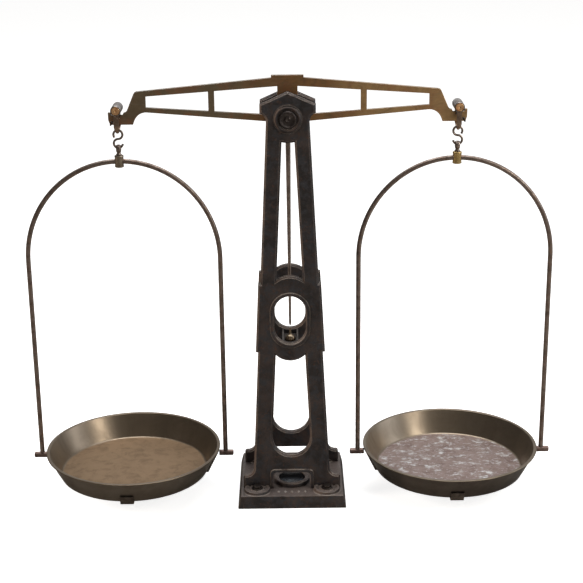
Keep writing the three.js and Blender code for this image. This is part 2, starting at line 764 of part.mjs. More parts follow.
function buildHangingSide(name, side) {
  const chain = new THREE.Group();
  chain.position.x = side * arm;
  scale.add(chain);
  const tubeZ = endKnifeZ + shackle.tubeRise;
  const plugY = shackle.tubeHalf - plug.length / 2;
  place(chain, `${name}_shackle`, shackleGeometry(), brownSteel);
  place(chain, `${name}_shackle_front_plug`, plugGeometry(), copper, [0, -plugY, tubeZ]);
  place(chain, `${name}_shackle_back_plug`, plugGeometry().rotateZ(Math.PI), copper, [0, plugY, tubeZ]);
  place(chain, `${name}_s_hook`, hookGeometry(side), brownSteel);
  place(chain, `${name}_swivel_eye`, swivelEyeGeometry(), brownSteel);
  place(chain, `${name}_ferrule`, ferruleGeometry(), darkBrass);
  place(chain, `${name}_hanger_wire`, hangerWireGeometry(), brownSteel);
  place(chain, `${name}_outer_stub_pin`, stubPinGeometry(side), brownSteel);
  place(chain, `${name}_inner_stub_pin`, stubPinGeometry(-side), brownSteel);
  place(chain, `${name}_pan_cradle`, cradleGeometry(), brownSteel);
  place(chain, `${name}_pan`, panGeometry(), darkBrass);
}

buildColumn();
buildBeam();
buildHangingSide('left', -1);
buildHangingSide('right', 1);

export default scale;
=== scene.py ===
import math

import bmesh
import bpy
from mathutils import Matrix, Vector


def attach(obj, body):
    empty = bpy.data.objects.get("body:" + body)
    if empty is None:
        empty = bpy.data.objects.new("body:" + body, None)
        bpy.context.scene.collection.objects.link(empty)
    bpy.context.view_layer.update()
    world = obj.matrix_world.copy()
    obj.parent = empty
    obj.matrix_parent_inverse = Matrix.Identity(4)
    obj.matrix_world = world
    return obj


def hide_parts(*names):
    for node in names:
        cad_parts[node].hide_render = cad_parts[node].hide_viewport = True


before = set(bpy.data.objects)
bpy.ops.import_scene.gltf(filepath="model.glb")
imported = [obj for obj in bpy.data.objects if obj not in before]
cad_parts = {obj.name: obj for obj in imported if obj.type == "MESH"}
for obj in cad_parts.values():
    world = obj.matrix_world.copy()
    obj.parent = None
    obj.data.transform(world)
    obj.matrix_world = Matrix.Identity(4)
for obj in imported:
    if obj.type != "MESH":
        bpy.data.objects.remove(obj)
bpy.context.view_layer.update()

print("frame loaded:", len(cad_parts), "nodes")

mm = 0.001
sides = {"left": -1, "right": 1}
arm = 219.4  # centre knife to end knife


# view, floor and lights
# place in millimetres, turns in degrees
cameraFacts = {
    "place": (0.8, -1774.5, 885.0),
    "pitch": 18.656,
    "yaw": 0.05,
    "roll": -0.65,
    "lens": 86.3,
    "sensor": 36,
    "farthest": 60,
}


def makeCamera():
    data = bpy.data.cameras.new("camera")
    data.lens = cameraFacts["lens"]
    data.sensor_width = cameraFacts["sensor"]
    data.clip_end = cameraFacts["farthest"]
    camera = bpy.data.objects.new("camera", data)
    turnYaw = Matrix.Rotation(math.radians(-cameraFacts["yaw"]), 4, "Z")
    turnPitch = Matrix.Rotation(math.radians(90 - cameraFacts["pitch"]), 4, "X")
    turnRoll = Matrix.Rotation(math.radians(cameraFacts["roll"]), 4, "Z")
    place = Matrix.Translation(Vector(cameraFacts["place"]) * mm)
    camera.matrix_world = place @ turnYaw @ turnPitch @ turnRoll
    bpy.context.scene.collection.objects.link(camera)
    bpy.context.scene.camera = camera


# each light: place, what it looks at, width, height, watts, colour, seen in reflections
lightFacts = {
    "windowRight": ((2.5, 0.25, 1.20), (0, 0, 0.25), 1.4, 1.5, 11, (0.92, 0.95, 1.0), True),
    "windowFront": ((1.55, -1.10, 1.30), (0, 0, 0.2), 0.30, 0.8, 10, (1.0, 0.94, 0.84), True),
    "fillLeft": ((-2.6, -0.7, 1.2), (0, 0, 0.3), 1.0, 1.4, 60, (1.0, 0.92, 0.84), False),
    "topSoft": ((0.1, 0.3, 2.6), (0, 0, 0.2), 2.2, 1.6, 46, (1.0, 1.0, 1.0), True),
}
worldFacts = {
    "front": (0.145, 0.132, 0.115, 1),
    "right": (0.30, 0.315, 0.33, 1),
    "left": (0.030, 0.028, 0.026, 1),
    "back": (0.42, 0.42, 0.42, 1),
    "strength": 1.0,
    "seen": (1, 1, 1, 1),
    "toBack": (-0.1, 0.9),
    "toRight": (0.25, 0.9),
    "toLeft": (-0.1, -0.75),
}


def makeLights():
    for name, facts in lightFacts.items():
        place, target, width, height, watts, colour, glossy = facts
        data = bpy.data.lights.new(name, "AREA")
        data.shape = "RECTANGLE"
        data.size = width
        data.size_y = height
        data.energy = watts
        data.color = colour
        light = bpy.data.objects.new(name, data)
        light.location = place
        look = Vector(target) - Vector(place)
        light.rotation_euler = look.to_track_quat("-Z", "Y").to_euler()
        light.visible_glossy = glossy
        bpy.context.scene.collection.objects.link(light)


# node helpers
def putNode(tree, kind, settings=None, values=None):
    node = tree.nodes.new(kind)
    for key, value in (settings or {}).items():
        setattr(node, key, value)
    for key, value in (values or {}).items():
        node.inputs[key].default_value = value
    return node


def feed(tree, socket, value):
    # a link where the value is a socket, else a constant
    if isinstance(value, bpy.types.NodeSocket):
        tree.links.new(value, socket)
    else:
        socket.default_value = value


def mixColours(tree, factor, first, second):
    settings = {"data_type": "RGBA", "blend_type": "MIX", "clamp_factor": True}
    node = putNode(tree, "ShaderNodeMix", settings)
    for place, value in ((0, factor), (6, first), (7, second)):
        feed(tree, node.inputs[place], value)
    return node.outputs[2]


def doMath(tree, operation, first, second=0.0, clamp=False):
    node = putNode(tree, "ShaderNodeMath", {"operation": operation, "use_clamp": clamp})
    feed(tree, node.inputs[0], first)
    feed(tree, node.inputs[1], second)
    return node.outputs[0]


def multiply(tree, first, second, clamp=False):
    return doMath(tree, "MULTIPLY", first, second, clamp)


def layColour(tree, colour, over, mask, amount):
    # another colour over the first, where the mask is, by an amount
    return mixColours(tree, multiply(tree, mask, amount), colour, over)


def stretchRange(tree, value, low, high, newLow=0.0, newHigh=1.0):
    # from low and high to the new pair, eased at both ends
    node = putNode(tree, "ShaderNodeMapRange", {"interpolation_type": "SMOOTHSTEP", "clamp": True})
    for place, number in enumerate((value, low, high, newLow, newHigh)):
        feed(tree, node.inputs[place], number)
    return node.outputs[0]


def splitVector(tree, vector):
    parts = putNode(tree, "ShaderNodeSeparateXYZ")
    tree.links.new(vector, parts.inputs[0])
    return parts.outputs


def joinVector(tree, x, y, z):
    joined = putNode(tree, "ShaderNodeCombineXYZ")
    for place, value in enumerate((x, y, z)):
        feed(tree, joined.inputs[place], value)
    return joined.outputs[0]


def dotProduct(tree, first, second):
    node = putNode(tree, "ShaderNodeVectorMath", {"operation": "DOT_PRODUCT"})
    feed(tree, node.inputs[0], first)
    feed(tree, node.inputs[1], second)
    return node.outputs["Value"]


def putNoise(tree, vector, scale, detail, roughness=0.5, distortion=0.0):
    noise = putNode(tree, "ShaderNodeTexNoise", values={"Detail": detail, "Roughness": roughness})
    for key, value in (("Vector", vector), ("Scale", scale), ("Distortion", distortion)):
        feed(tree, noise.inputs[key], value)
    return noise.outputs[0]


def dimmed(colour, share):
    return [value * share for value in colour[:3]] + [1]


def newGroup(name, numbers, outputs):
    # takes a Vector and the numbers; each output is given with its kind
    group = bpy.data.node_groups.new(name, "ShaderNodeTree")
    group.interface.new_socket("Vector", in_out="INPUT", socket_type="NodeSocketVector")
    for key, value in numbers.items():
        socket = group.interface.new_socket(key, in_out="INPUT", socket_type="NodeSocketFloat")
        socket.default_value = value
    for key, kind in outputs.items():
        group.interface.new_socket(key, in_out="OUTPUT", socket_type="NodeSocket" + kind)
    given = group.nodes.new("NodeGroupInput").outputs
    result = group.nodes.new("NodeGroupOutput").inputs
    return group, given, result


def useGroup(tree, name, vector, **values):
    node = putNode(tree, "ShaderNodeGroup", {"node_tree": groups[name]}, values)
    tree.links.new(vector, node.inputs["Vector"])
    return node.outputs


# effects that several finishes share
def makePatches():
    # cloudy patches of a given size; Level is where they begin, Softness how slowly
    numbers = {"Scale": 30.0, "Level": 0.5, "Softness": 0.12, "Distortion": 0.3}
    group, given, result = newGroup("patches", numbers, {"Mask": "Float"})
    noise = putNoise(group, given["Vector"], given["Scale"], 6.0, 0.62, given["Distortion"])
    low = doMath(group, "SUBTRACT", given["Level"], given["Softness"])
    high = doMath(group, "ADD", given["Level"], given["Softness"])
    group.links.new(stretchRange(group, noise, low, high), result[0])
    return group


def makeEdgeWear():
    # 1 along worn edges, broken up by noise
    numbers = {"Radius": 0.0012, "Breakup": 90.0, "Amount": 1.0}
    group, given, result = newGroup("edgeWear", numbers, {"Mask": "Float"})
    rounded = putNode(group, "ShaderNodeBevel", {"samples": 5})
    group.links.new(given["Radius"], rounded.inputs["Radius"])
    flat = putNode(group, "ShaderNodeNewGeometry")
    likeness = dotProduct(group, rounded.outputs[0], flat.outputs["Normal"])
    edge = stretchRange(group, likeness, 0.997, 0.92)
    noise = putNoise(group, given["Vector"], given["Breakup"], 4.0, 0.6)
    worn = multiply(group, edge, stretchRange(group, noise, 0.30, 0.56))
    group.links.new(multiply(group, worn, given["Amount"], True), result[0])
    return group


def makeGrimeAndShade():
    # 1 in corners and hollows, for grime and painted shade
    numbers = {"Distance": 0.012, "Amount": 1.0}
    group, given, result = newGroup("grimeAndShade", numbers, {"Mask": "Float"})
    shelter = putNode(group, "ShaderNodeAmbientOcclusion", {"samples": 6})
    group.links.new(given["Distance"], shelter.inputs["Distance"])
    hidden = stretchRange(group, shelter.outputs["AO"], 0.85, 0.3)
    noise = putNoise(group, given["Vector"], 140.0, 3.0)
    mask = multiply(group, hidden, stretchRange(group, noise, 0.3, 0.6, 0.5, 1.0))
    group.links.new(multiply(group, mask, given["Amount"], True), result[0])
    return group


def makeCastGrain():
    # height of a sand-cast skin: coarse swells, fine pits
    numbers = {"Coarse": 90.0, "Fine": 900.0}
    outputs = {"Height": "Float", "Pits": "Float"}
    group, given, result = newGroup("castGrain", numbers, outputs)
    swells = putNoise(group, given["Vector"], given["Coarse"], 3.0, 0.55)
    fine = putNoise(group, given["Vector"], given["Fine"], 4.0, 0.55)
    pits = stretchRange(group, fine, 0.3, 0.46)
    height = doMath(group, "ADD", swells, multiply(group, pits, 0.35))
    group.links.new(height, result["Height"])
    group.links.new(pits, result["Pits"])
    return group


def makeScratches():
    # fine rubbed lines along X of the vector that comes in
    numbers = {"Scale": 60.0, "Stretch": 0.03}
    outputs = {"Height": "Float", "Mask": "Float"}
    group, given, result = newGroup("scratches", numbers, outputs)
    x, y, z = splitVector(group, given["Vector"])
    drawn = joinVector(group, multiply(group, x, given["Stretch"]), y, z)
    noise = putNoise(group, drawn, given["Scale"], 5.0, 0.7)
    group.links.new(noise, result["Height"])
    group.links.new(stretchRange(group, noise, 0.52, 0.7), result["Mask"])
    return group


def makeRoundCoords():
    # for a turned piece: radius, height, and a vector that draws spokes
    outputs = {"Radius": "Float", "Spoke": "Vector", "Height": "Float"}
    group, given, result = newGroup("roundCoords", {}, outputs)
    x, y, z = splitVector(group, given["Vector"])
    squares = doMath(group, "ADD", multiply(group, x, x), multiply(group, y, y))
    radius = doMath(group, "SQRT", squares)
    safe = doMath(group, "MAXIMUM", radius, 0.001)
    cosine = doMath(group, "DIVIDE", x, safe)
    sine = doMath(group, "DIVIDE", y, safe)
    spoke = joinVector(group, multiply(group, radius, 0.4), cosine, sine)
    group.links.new(radius, result["Radius"])
    group.links.new(spoke, result["Spoke"])
    group.links.new(z, result["Height"])
    return group


groups = {
    "patches": makePatches(),
    "edgeWear": makeEdgeWear(),
    "grimeAndShade": makeGrimeAndShade(),
    "castGrain": makeCastGrain(),
    "scratches": makeScratches(),
    "roundCoords": makeRoundCoords(),
}
print("node groups made:", len(groups))


# finishes
def patches(tree, vector, scale, level, softness, distortion):
    sizes = {"Scale": scale, "Level": level, "Softness": softness, "Distortion": distortion}
    return useGroup(tree, "patches", vector, **sizes)["Mask"]


def layPatches(tree, vector, colour, over, patch):
    # another colour in patches: scale, level, softness, distortion and amount
    mask = patches(tree, vector, *patch[:4])
    return layColour(tree, colour, over, mask, patch[4]), mask


def facing(tree, direction, low, high):
    # 1 where the surface looks along a direction
    flat = putNode(tree, "ShaderNodeNewGeometry")
    return stretchRange(tree, dotProduct(tree, flat.outputs["Normal"], direction), low, high)


def startMaterial(name, metallic, specular=0.5, centre=(0, 0, 0)):
    material = bpy.data.materials.new(name)
    material.use_nodes = True
    tree = material.node_tree
    tree.nodes.clear()
    output = putNode(tree, "ShaderNodeOutputMaterial")
    values = {"Metallic": metallic, "Specular IOR Level": specular}
    shader = putNode(tree, "ShaderNodeBsdfPrincipled", values=values)
    tree.links.new(shader.outputs[0], output.inputs[0])
    coords = putNode(tree, "ShaderNodeTexCoord")
    shift = [-value * mm for value in centre]
    mapping = putNode(tree, "ShaderNodeMapping", values={"Location": shift})
    tree.links.new(coords.outputs["Object"], mapping.inputs[0])
    return material, tree, shader, mapping.outputs[0]


def setSurface(tree, shader, colour, mask, rough):
    # roughness goes from the first value to the second with the mask
    tree.links.new(colour, shader.inputs["Base Color"])
    tree.links.new(stretchRange(tree, mask, 0, 1, *rough), shader.inputs["Roughness"])


def addBump(tree, shader, height, strength, distance):
    bump = putNode(tree, "ShaderNodeBump", values={"Strength": strength, "Distance": distance})
    tree.links.new(height, bump.inputs["Height"])
    tree.links.new(bump.outputs[0], shader.inputs["Normal"])


def wornEdges(tree, vector, look):
    sizes = {"Radius": look["edgeReach"], "Breakup": look["edgeBreakup"], "Amount": look["edgeAmount"]}
    return useGroup(tree, "edgeWear", vector, **sizes)["Mask"]


def addWear(tree, vector, colour, look, edges):
    # grime and painted shade in the corners, then the worn edges on top
    sizes = {"Distance": look["grimeAndShadeReach"], "Amount": look["grimeAndShadeAmount"]}
    grimeAndShade = useGroup(tree, "grimeAndShade", vector, **sizes)["Mask"]
    grimedAndShaded = mixColours(tree, grimeAndShade, colour, look["grimeAndShade"])
    return mixColours(tree, edges, grimedAndShaded, look["edge"])


castIronLook = {
    "base": (0.0240, 0.0212, 0.0218, 1),
    "brown": (0.0680, 0.0510, 0.0465, 1),
    "bluish": (0.0440, 0.0440, 0.0500, 1),
    "rust": (0.1050, 0.0520, 0.0340, 1),
    # rubbed: a lighter colour, used here as painted light on faces that look left or up
    "rubbed": (0.1800, 0.1280, 0.1020, 1),
    # painted highlight on the top edges
    "bright": (0.7500, 0.6800, 0.6000, 1),
    "dust": (0.1600, 0.1320, 0.1220, 1),
    # painted shade on the roof of the head
    "roofShade": (0.0060, 0.0055, 0.0055, 1),
    "edge": (0.2100, 0.1650, 0.1400, 1),
    "grimeAndShade": (0.0080, 0.0070, 0.0070, 1),
    "grimeAndShadeReach": 0.014,
    "grimeAndShadeAmount": 0.9,
    "edgeReach": 0.0014,
    "edgeBreakup": 60.0,
    "edgeAmount": 0.75,
    "rough": (0.60, 0.38),
    "pitShine": -0.06,
    "browned": (24.0, 0.5, 0.14, 0.5, 1.0),
    "blued": (95.0, 0.54, 0.1, 0.6, 1.0),
    "rusted": (170.0, 0.62, 0.05, 1.2, 0.6),
    "litPatches": (34.0, 0.46, 0.12, 0.4),
    "leftSideLight": 0.75,
    "upperSideLight": 0.4,
    "ridgeHighlightAmount": 0.8,
    "dustAmount": 0.7,
    "dustHeights": (0.04, 0.03),  # metres, none to full
    "roofShadeAmount": 0.9,
    "roofShadeHeights": (0.515, 0.525),
    "roofShadeShine": 0.04,
    "grain": {"Coarse": 140.0, "Fine": 800.0},
    "bump": (0.9, 0.0009),
}


# iron with its skin rubbed thin
wornIronLook = {
    **castIronLook,
    "base": (0.3000, 0.2750, 0.2600, 1),
    "brown": (0.3600, 0.3200, 0.2950, 1),
    "bluish": (0.3200, 0.3100, 0.3050, 1),
    "dust": (0.3600, 0.3250, 0.3050, 1),
}


def castIronFinish(name, look):
    material, tree, shader, vector = startMaterial(name, 0.15)
    colour, browned = layPatches(tree, vector, look["base"], look["brown"], look["browned"])
    colour = layPatches(tree, vector, colour, look["bluish"], look["blued"])[0]
    colour = layPatches(tree, vector, colour, look["rust"], look["rusted"])[0]
    # painted light: faces that look left, and faces that look up, are lighter in patches
    litPatches = patches(tree, vector, *look["litPatches"])
    litLeftSide = multiply(tree, facing(tree, (-1, -0.25, 0.1), 0.45, 0.8), litPatches)
    colour = layColour(tree, colour, look["rubbed"], litLeftSide, look["leftSideLight"])
    upper = multiply(tree, facing(tree, (0, -0.4, 0.9), 0.5, 0.85), litPatches)
    colour = layColour(tree, colour, look["rubbed"], upper, look["upperSideLight"])
    edges = wornEdges(tree, vector, look)
    colour = addWear(tree, vector, colour, look, edges)
    # a painted highlight along the worn edges that look up and forward
    ridgeHighlight = multiply(tree, edges, facing(tree, (0, -0.55, 0.83), 0.5, 0.95))
    colour = layColour(tree, colour, look["bright"], ridgeHighlight, look["ridgeHighlightAmount"])
    # dust on the foot, and painted shade along the roof of the head
    height = splitVector(tree, vector)[2]
    up = facing(tree, (0, 0, 1), 0.6, 0.85)
    dusty = multiply(tree, up, stretchRange(tree, height, *look["dustHeights"]))
    colour = layColour(tree, colour, look["dust"], dusty, look["dustAmount"])
    shadedRoof = multiply(tree, up, stretchRange(tree, height, *look["roofShadeHeights"]))
    colour = layColour(tree, colour, look["roofShade"], shadedRoof, look["roofShadeAmount"])
    tree.links.new(colour, shader.inputs["Base Color"])
    grain = useGroup(tree, "castGrain", vector, **look["grain"])
    rough = stretchRange(tree, browned, 0, 1, *look["rough"])
    rough = doMath(tree, "ADD", rough, multiply(tree, grain["Pits"], look["pitShine"]))
    tree.links.new(rough, shader.inputs["Roughness"])
    # the roof's painted shade also loses its shine
    shine = stretchRange(tree, shadedRoof, 0, 1, 0.5, look["roofShadeShine"])
    tree.links.new(shine, shader.inputs["Specular IOR Level"])
    addBump(tree, shader, grain["Height"], *look["bump"])
    return material


beamLook = {
    "olive": (0.330, 0.255, 0.165, 1),
    "golden": (0.720, 0.470, 0.230, 1),
    "middle": (0.430, 0.240, 0.105, 1),
    "dark": (0.140, 0.102, 0.070, 1),
    "reddish": (0.520, 0.220, 0.120, 1),
    "pale": (0.480, 0.490, 0.470, 1),
    "edge": (0.560, 0.500, 0.430, 1),
    "grimeAndShade": (0.030, 0.022, 0.014, 1),
    "grimeAndShadeReach": 0.006,
    "grimeAndShadeAmount": 0.7,
    "edgeReach": 0.0007,
    "edgeBreakup": 110.0,
    "edgeAmount": 0.65,
    "rough": (0.42, 0.58),
    "drift": (9.0, 4.0),  # scale and detail of the noise that blurs the change of tone
    "driftReach": 0.16,
    "oliveToMiddle": (-0.075, 0.0),  # metres along the beam
    "middleToGolden": (0.01, 0.11),
    "stained": (42.0, 0.56, 0.14, 0.8, 0.5),
    "blushed": (34.0, 0.56, 0.1, 0.5, 0.5),
    "lines": {"Scale": 420.0, "Stretch": 0.05},
    "lineAmount": 0.25,
    "sillLightAmount": 0.6,
    "bump": (0.25, 0.0003),
}


def beamBrassFinish():
    look = beamLook
    material, tree, shader, vector = startMaterial("beamBrass", 0.85)
    # painted reflection: olive on the left arm, golden on the right arm, as the right catches more light
    cloud = putNoise(tree, vector, *look["drift"])
    drift = multiply(tree, doMath(tree, "SUBTRACT", cloud, 0.5), look["driftReach"])
    along = doMath(tree, "ADD", splitVector(tree, vector)[0], drift)
    toMiddle = stretchRange(tree, along, *look["oliveToMiddle"])
    toGolden = stretchRange(tree, along, *look["middleToGolden"])
    colour = mixColours(tree, toMiddle, look["olive"], look["middle"])
    colour = mixColours(tree, toGolden, colour, look["golden"])
    colour, stains = layPatches(tree, vector, colour, look["dark"], look["stained"])
    colour = layPatches(tree, vector, colour, look["reddish"], look["blushed"])[0]
    lines = useGroup(tree, "scratches", vector, **look["lines"])
    colour = layColour(tree, colour, look["edge"], lines["Mask"], look["lineAmount"])
    # painted light by facing: tops paler as a highlight, undersides reddish
    for direction, shade in ((1, "pale"), (-1, "reddish")):
        mask = facing(tree, (0, 0, direction), 0.3, 0.8)
        colour = layColour(tree, colour, look[shade], mask, look["sillLightAmount"])
    colour = addWear(tree, vector, colour, look, wornEdges(tree, vector, look))
    setSurface(tree, shader, colour, stains, look["rough"])
    addBump(tree, shader, lines["Height"], *look["bump"])
    return material


panLooks = {
    "left": {
        "wall": (0.290, 0.232, 0.172, 1),
        "wallDark": (0.140, 0.108, 0.078, 1),
        "outer": (0.340, 0.300, 0.255, 1),
        "outerDark": (0.200, 0.165, 0.132, 1),
        "floor": (0.300, 0.205, 0.125, 1),
        "floorDark": (0.160, 0.108, 0.066, 1),
        "floorPale": (0.380, 0.280, 0.180, 1),
        "streak": 0.16,
        "floorRough": 0.52,
    },
    "right": {
        "wall": (0.330, 0.272, 0.208, 1),
        "wallDark": (0.170, 0.132, 0.098, 1),
        "outer": (0.190, 0.160, 0.138, 1),
        "outerDark": (0.095, 0.078, 0.066, 1),
        "floor": (0.330, 0.255, 0.235, 1),
        "floorDark": (0.190, 0.126, 0.112, 1),
        "floorPale": (0.720, 0.725, 0.735, 1),
        "streak": 1.0,
        "floorRough": 0.58,
    },
}
panWear = {
    "edge": (0.170, 0.150, 0.130, 1),
    "grimeAndShade": (0.035, 0.027, 0.020, 1),
    "grimeAndShadeReach": 0.006,
    "grimeAndShadeAmount": 0.6,
    "edgeReach": 0.0008,
    "edgeBreakup": 60.0,
    "edgeAmount": 0.35,
    "tarnished": 0.22,
    "blotched": (30.0, 0.56, 0.2, 0.6, 0.45),
    "clouded": (18.0, 0.5, 0.25, 0.6),
    "stained": (58.0, 0.55, 0.16, 0.35, 0.6),
    "paled": (52.0, 0.40, 0.22, 0.5),
    "pitted": (150.0, 0.66, 0.05, 0.4, 0.5),
    "rubbed": {"Scale": 90.0, "Stretch": 0.75},
    "fineRub": {"Scale": 240.0, "Stretch": 0.7},
    "wallRough": (0.32, 0.40),
    "stainRough": 0.08,
    "floorHeights": (0.0280, 0.0288),  # metres
    "floorRadii": (0.1020, 0.0990),
    "metallic": (0.9, 0.55),  # wall and floor
    "bump": (0.18, 0.0004),
}


def panWall(tree, vector, turned, look):
    # spun metal: faint tarnish from lip to floor, fine rings and a few cloudy blotches
    wear = panWear
    spokes = putNoise(tree, turned["Spoke"], 5.0, 5.0, 0.6)
    tarnish = stretchRange(tree, spokes, 0.35, 0.75)
    wall = layColour(tree, look["wall"], look["wallDark"], tarnish, wear["tarnished"])
    wall, blotches = layPatches(tree, vector, wall, look["wallDark"], wear["blotched"])
    clouds = patches(tree, vector, *wear["clouded"])
    outside = mixColours(tree, clouds, look["outer"], look["outerDark"])
    wall = mixColours(tree, facing(tree, (0, 0, -1), 0.1, 0.35), wall, outside)
    rings = putNoise(tree, joinVector(tree, 0, 0, turned["Height"]), 900.0, 2.0)
    return wall, rings, stretchRange(tree, blotches, 0, 1, *wear["wallRough"])


def panFloor(tree, vector, look):
    # rubbed and stained, with pale streaks from side to side
    wear = panWear
    floor, stains = layPatches(tree, vector, look["floor"], look["floorDark"], wear["stained"])
    rubbed = useGroup(tree, "scratches", vector, **wear["rubbed"])
    fineRub = useGroup(tree, "scratches", vector, **wear["fineRub"])
    streaks = doMath(tree, "ADD", rubbed["Mask"], multiply(tree, fineRub["Mask"], 0.6))
    pale = patches(tree, vector, *wear["paled"])
    streaks = multiply(tree, streaks, doMath(tree, "ADD", pale, 0.25))
    streaks = multiply(tree, streaks, look["streak"], True)
    floor = mixColours(tree, streaks, floor, look["floorPale"])
    floor = layPatches(tree, vector, floor, look["floorDark"], wear["pitted"])[0]
    extra = multiply(tree, stains, wear["stainRough"])
    return floor, fineRub["Height"], doMath(tree, "ADD", extra, look["floorRough"])


def panFinish(side):
    look = panLooks[side]
    wear = panWear
    name = side + "PanBrass"
    material, tree, shader, vector = startMaterial(name, 0.9, centre=(sides[side] * arm, 0, 0))
    turned = useGroup(tree, "roundCoords", vector)
    ragged = multiply(tree, putNoise(tree, vector, 35.0, 4.0), 0.004)
    reach = doMath(tree, "ADD", turned["Radius"], ragged)
    inside = stretchRange(tree, turned["Height"], *wear["floorHeights"])
    onFloor = multiply(tree, stretchRange(tree, reach, *wear["floorRadii"]), inside)
    wall, rings, wallRough = panWall(tree, vector, turned, look)
    floor, rubs, floorRough = panFloor(tree, vector, look)
    colour = mixColours(tree, onFloor, wall, floor)
    colour = addWear(tree, vector, colour, wear, wornEdges(tree, vector, wear))
    tree.links.new(colour, shader.inputs["Base Color"])
    step = multiply(tree, doMath(tree, "SUBTRACT", floorRough, wallRough), onFloor)
    tree.links.new(doMath(tree, "ADD", wallRough, step), shader.inputs["Roughness"])
    metallic = stretchRange(tree, onFloor, 0, 1, *wear["metallic"])
    tree.links.new(metallic, shader.inputs["Metallic"])
    relief = doMath(tree, "ADD", multiply(tree, rubs, onFloor), multiply(tree, rings, 0.25))
    addBump(tree, shader, relief, *wear["bump"])
    return material


brassLooks = {
    "leftFerruleBrass": {
        "base": (0.380, 0.310, 0.235, 1),
        "dark": (0.170, 0.132, 0.102, 1),
        "bright": (0.560, 0.470, 0.360, 1),
    },
    "rightFerruleBrass": {
        "base": (0.780, 0.560, 0.240, 1),
        "dark": (0.420, 0.260, 0.100, 1),
        "bright": (0.950, 0.760, 0.440, 1),
    },
    "indexBrass": {
        "base": (0.420, 0.310, 0.200, 1),
        "dark": (0.150, 0.105, 0.068, 1),
        "bright": (0.850, 0.740, 0.560, 1),
    },
}
brassWear = {
    "edge": (0.560, 0.470, 0.320, 1),
    "grimeAndShade": (0.040, 0.030, 0.020, 1),
    "grimeAndShadeReach": 0.004,
    "grimeAndShadeAmount": 0.8,
    "edgeReach": 0.0006,
    "edgeBreakup": 160.0,
    "edgeAmount": 0.8,
    "rough": (0.26, 0.42),
    "stained": (120.0, 0.54, 0.14, 0.8, 0.8),
    "rubbed": (60.0, 0.58, 0.12, 0.3, 0.5),
    "lines": {"Scale": 700.0, "Stretch": 0.1},
    "bump": (0.2, 0.0002),
}


def smallBrassFinish(name):
    look = brassLooks[name]
    wear = brassWear
    material, tree, shader, vector = startMaterial(name, 0.9)
    colour, stains = layPatches(tree, vector, look["base"], look["dark"], wear["stained"])
    colour = layPatches(tree, vector, colour, look["bright"], wear["rubbed"])[0]
    colour = addWear(tree, vector, colour, wear, wornEdges(tree, vector, wear))
    setSurface(tree, shader, colour, stains, wear["rough"])
    lines = useGroup(tree, "scratches", vector, **wear["lines"])
    addBump(tree, shader, lines["Height"], *wear["bump"])
    return material


# each steel: clean colour, dark stain, bright or rusty spot, roughness
steelLooks = {
    "wireSteel": ((0.340, 0.275, 0.240, 1), (0.160, 0.118, 0.100, 1), (0.420, 0.270, 0.200, 1), 0.36),
    "linkSteel": ((0.420, 0.345, 0.300, 1), (0.150, 0.112, 0.094, 1), (0.620, 0.520, 0.440, 1), 0.30),
    "tubeSteel": ((0.620, 0.580, 0.560, 1), (0.170, 0.135, 0.118, 1), (0.700, 0.640, 0.600, 1), 0.24),
    "strapSteel": ((0.440, 0.320, 0.240, 1), (0.170, 0.120, 0.094, 1), (0.600, 0.450, 0.340, 1), 0.34),
    "pinSteel": ((0.320, 0.235, 0.210, 1), (0.160, 0.110, 0.100, 1), (0.420, 0.280, 0.230, 1), 0.42),
    "pointerSteel": ((0.600, 0.500, 0.440, 1), (0.310, 0.250, 0.215, 1), (0.560, 0.430, 0.340, 1), 0.36),
    "cradleSteel": ((0.230, 0.195, 0.170, 1), (0.110, 0.088, 0.076, 1), (0.340, 0.260, 0.200, 1), 0.40),
    "studSteel": ((0.120, 0.104, 0.100, 1), (0.055, 0.046, 0.044, 1), (0.280, 0.240, 0.220, 1), 0.34),
    "bridgeSteel": ((0.170, 0.155, 0.146, 1), (0.080, 0.068, 0.062, 1), (0.420, 0.350, 0.290, 1), 0.38),
    "darkSteel": ((0.070, 0.058, 0.052, 1), (0.032, 0.026, 0.024, 1), (0.150, 0.100, 0.070, 1), 0.40),
    "groundSteel": ((0.420, 0.410, 0.395, 1), (0.200, 0.180, 0.160, 1), (0.560, 0.550, 0.530, 1), 0.24),
}
steelWear = {
    "edge": (0.340, 0.285, 0.235, 1),
    "grimeAndShade": (0.030, 0.022, 0.018, 1),
    "grimeAndShadeReach": 0.004,
    "grimeAndShadeAmount": 0.7,
    "edgeReach": 0.0006,
    "edgeBreakup": 140.0,
    "edgeAmount": 0.6,
    "stained": (75.0, 0.52, 0.16, 0.7, 0.75),
    "stainRough": 0.16,
    "spotted": (170.0, 0.6, 0.08, 1.0, 0.55),
    "grain": {"Coarse": 260.0, "Fine": 1500.0},
    "bump": (0.16, 0.0003),
}


def steelFinish(name):
    clean, dark, spot, roughness = steelLooks[name]
    wear = steelWear
    material, tree, shader, vector = startMaterial(name, 0.9)
    colour, stains = layPatches(tree, vector, clean, dark, wear["stained"])
    colour = layPatches(tree, vector, colour, spot, wear["spotted"])[0]
    colour = addWear(tree, vector, colour, wear, wornEdges(tree, vector, wear))
    setSurface(tree, shader, colour, stains, (roughness, roughness + wear["stainRough"]))
    grain = useGroup(tree, "castGrain", vector, **wear["grain"])
    addBump(tree, shader, grain["Height"], *wear["bump"])
    return material


copperLook = {
    "base": (1.000, 0.640, 0.340, 1),
    "dark": (0.680, 0.330, 0.150, 1),
    "bright": (1.000, 0.860, 0.640, 1),
    "edgeReach": 0.0007,
    "edgeBreakup": 220.0,
    "edgeAmount": 0.9,
    "rough": (0.32, 0.5),
    "stained": (210.0, 0.52, 0.14, 0.6, 1.0),
    "grain": {"Coarse": 400.0, "Fine": 1800.0},
    "bump": (0.15, 0.0002),
}


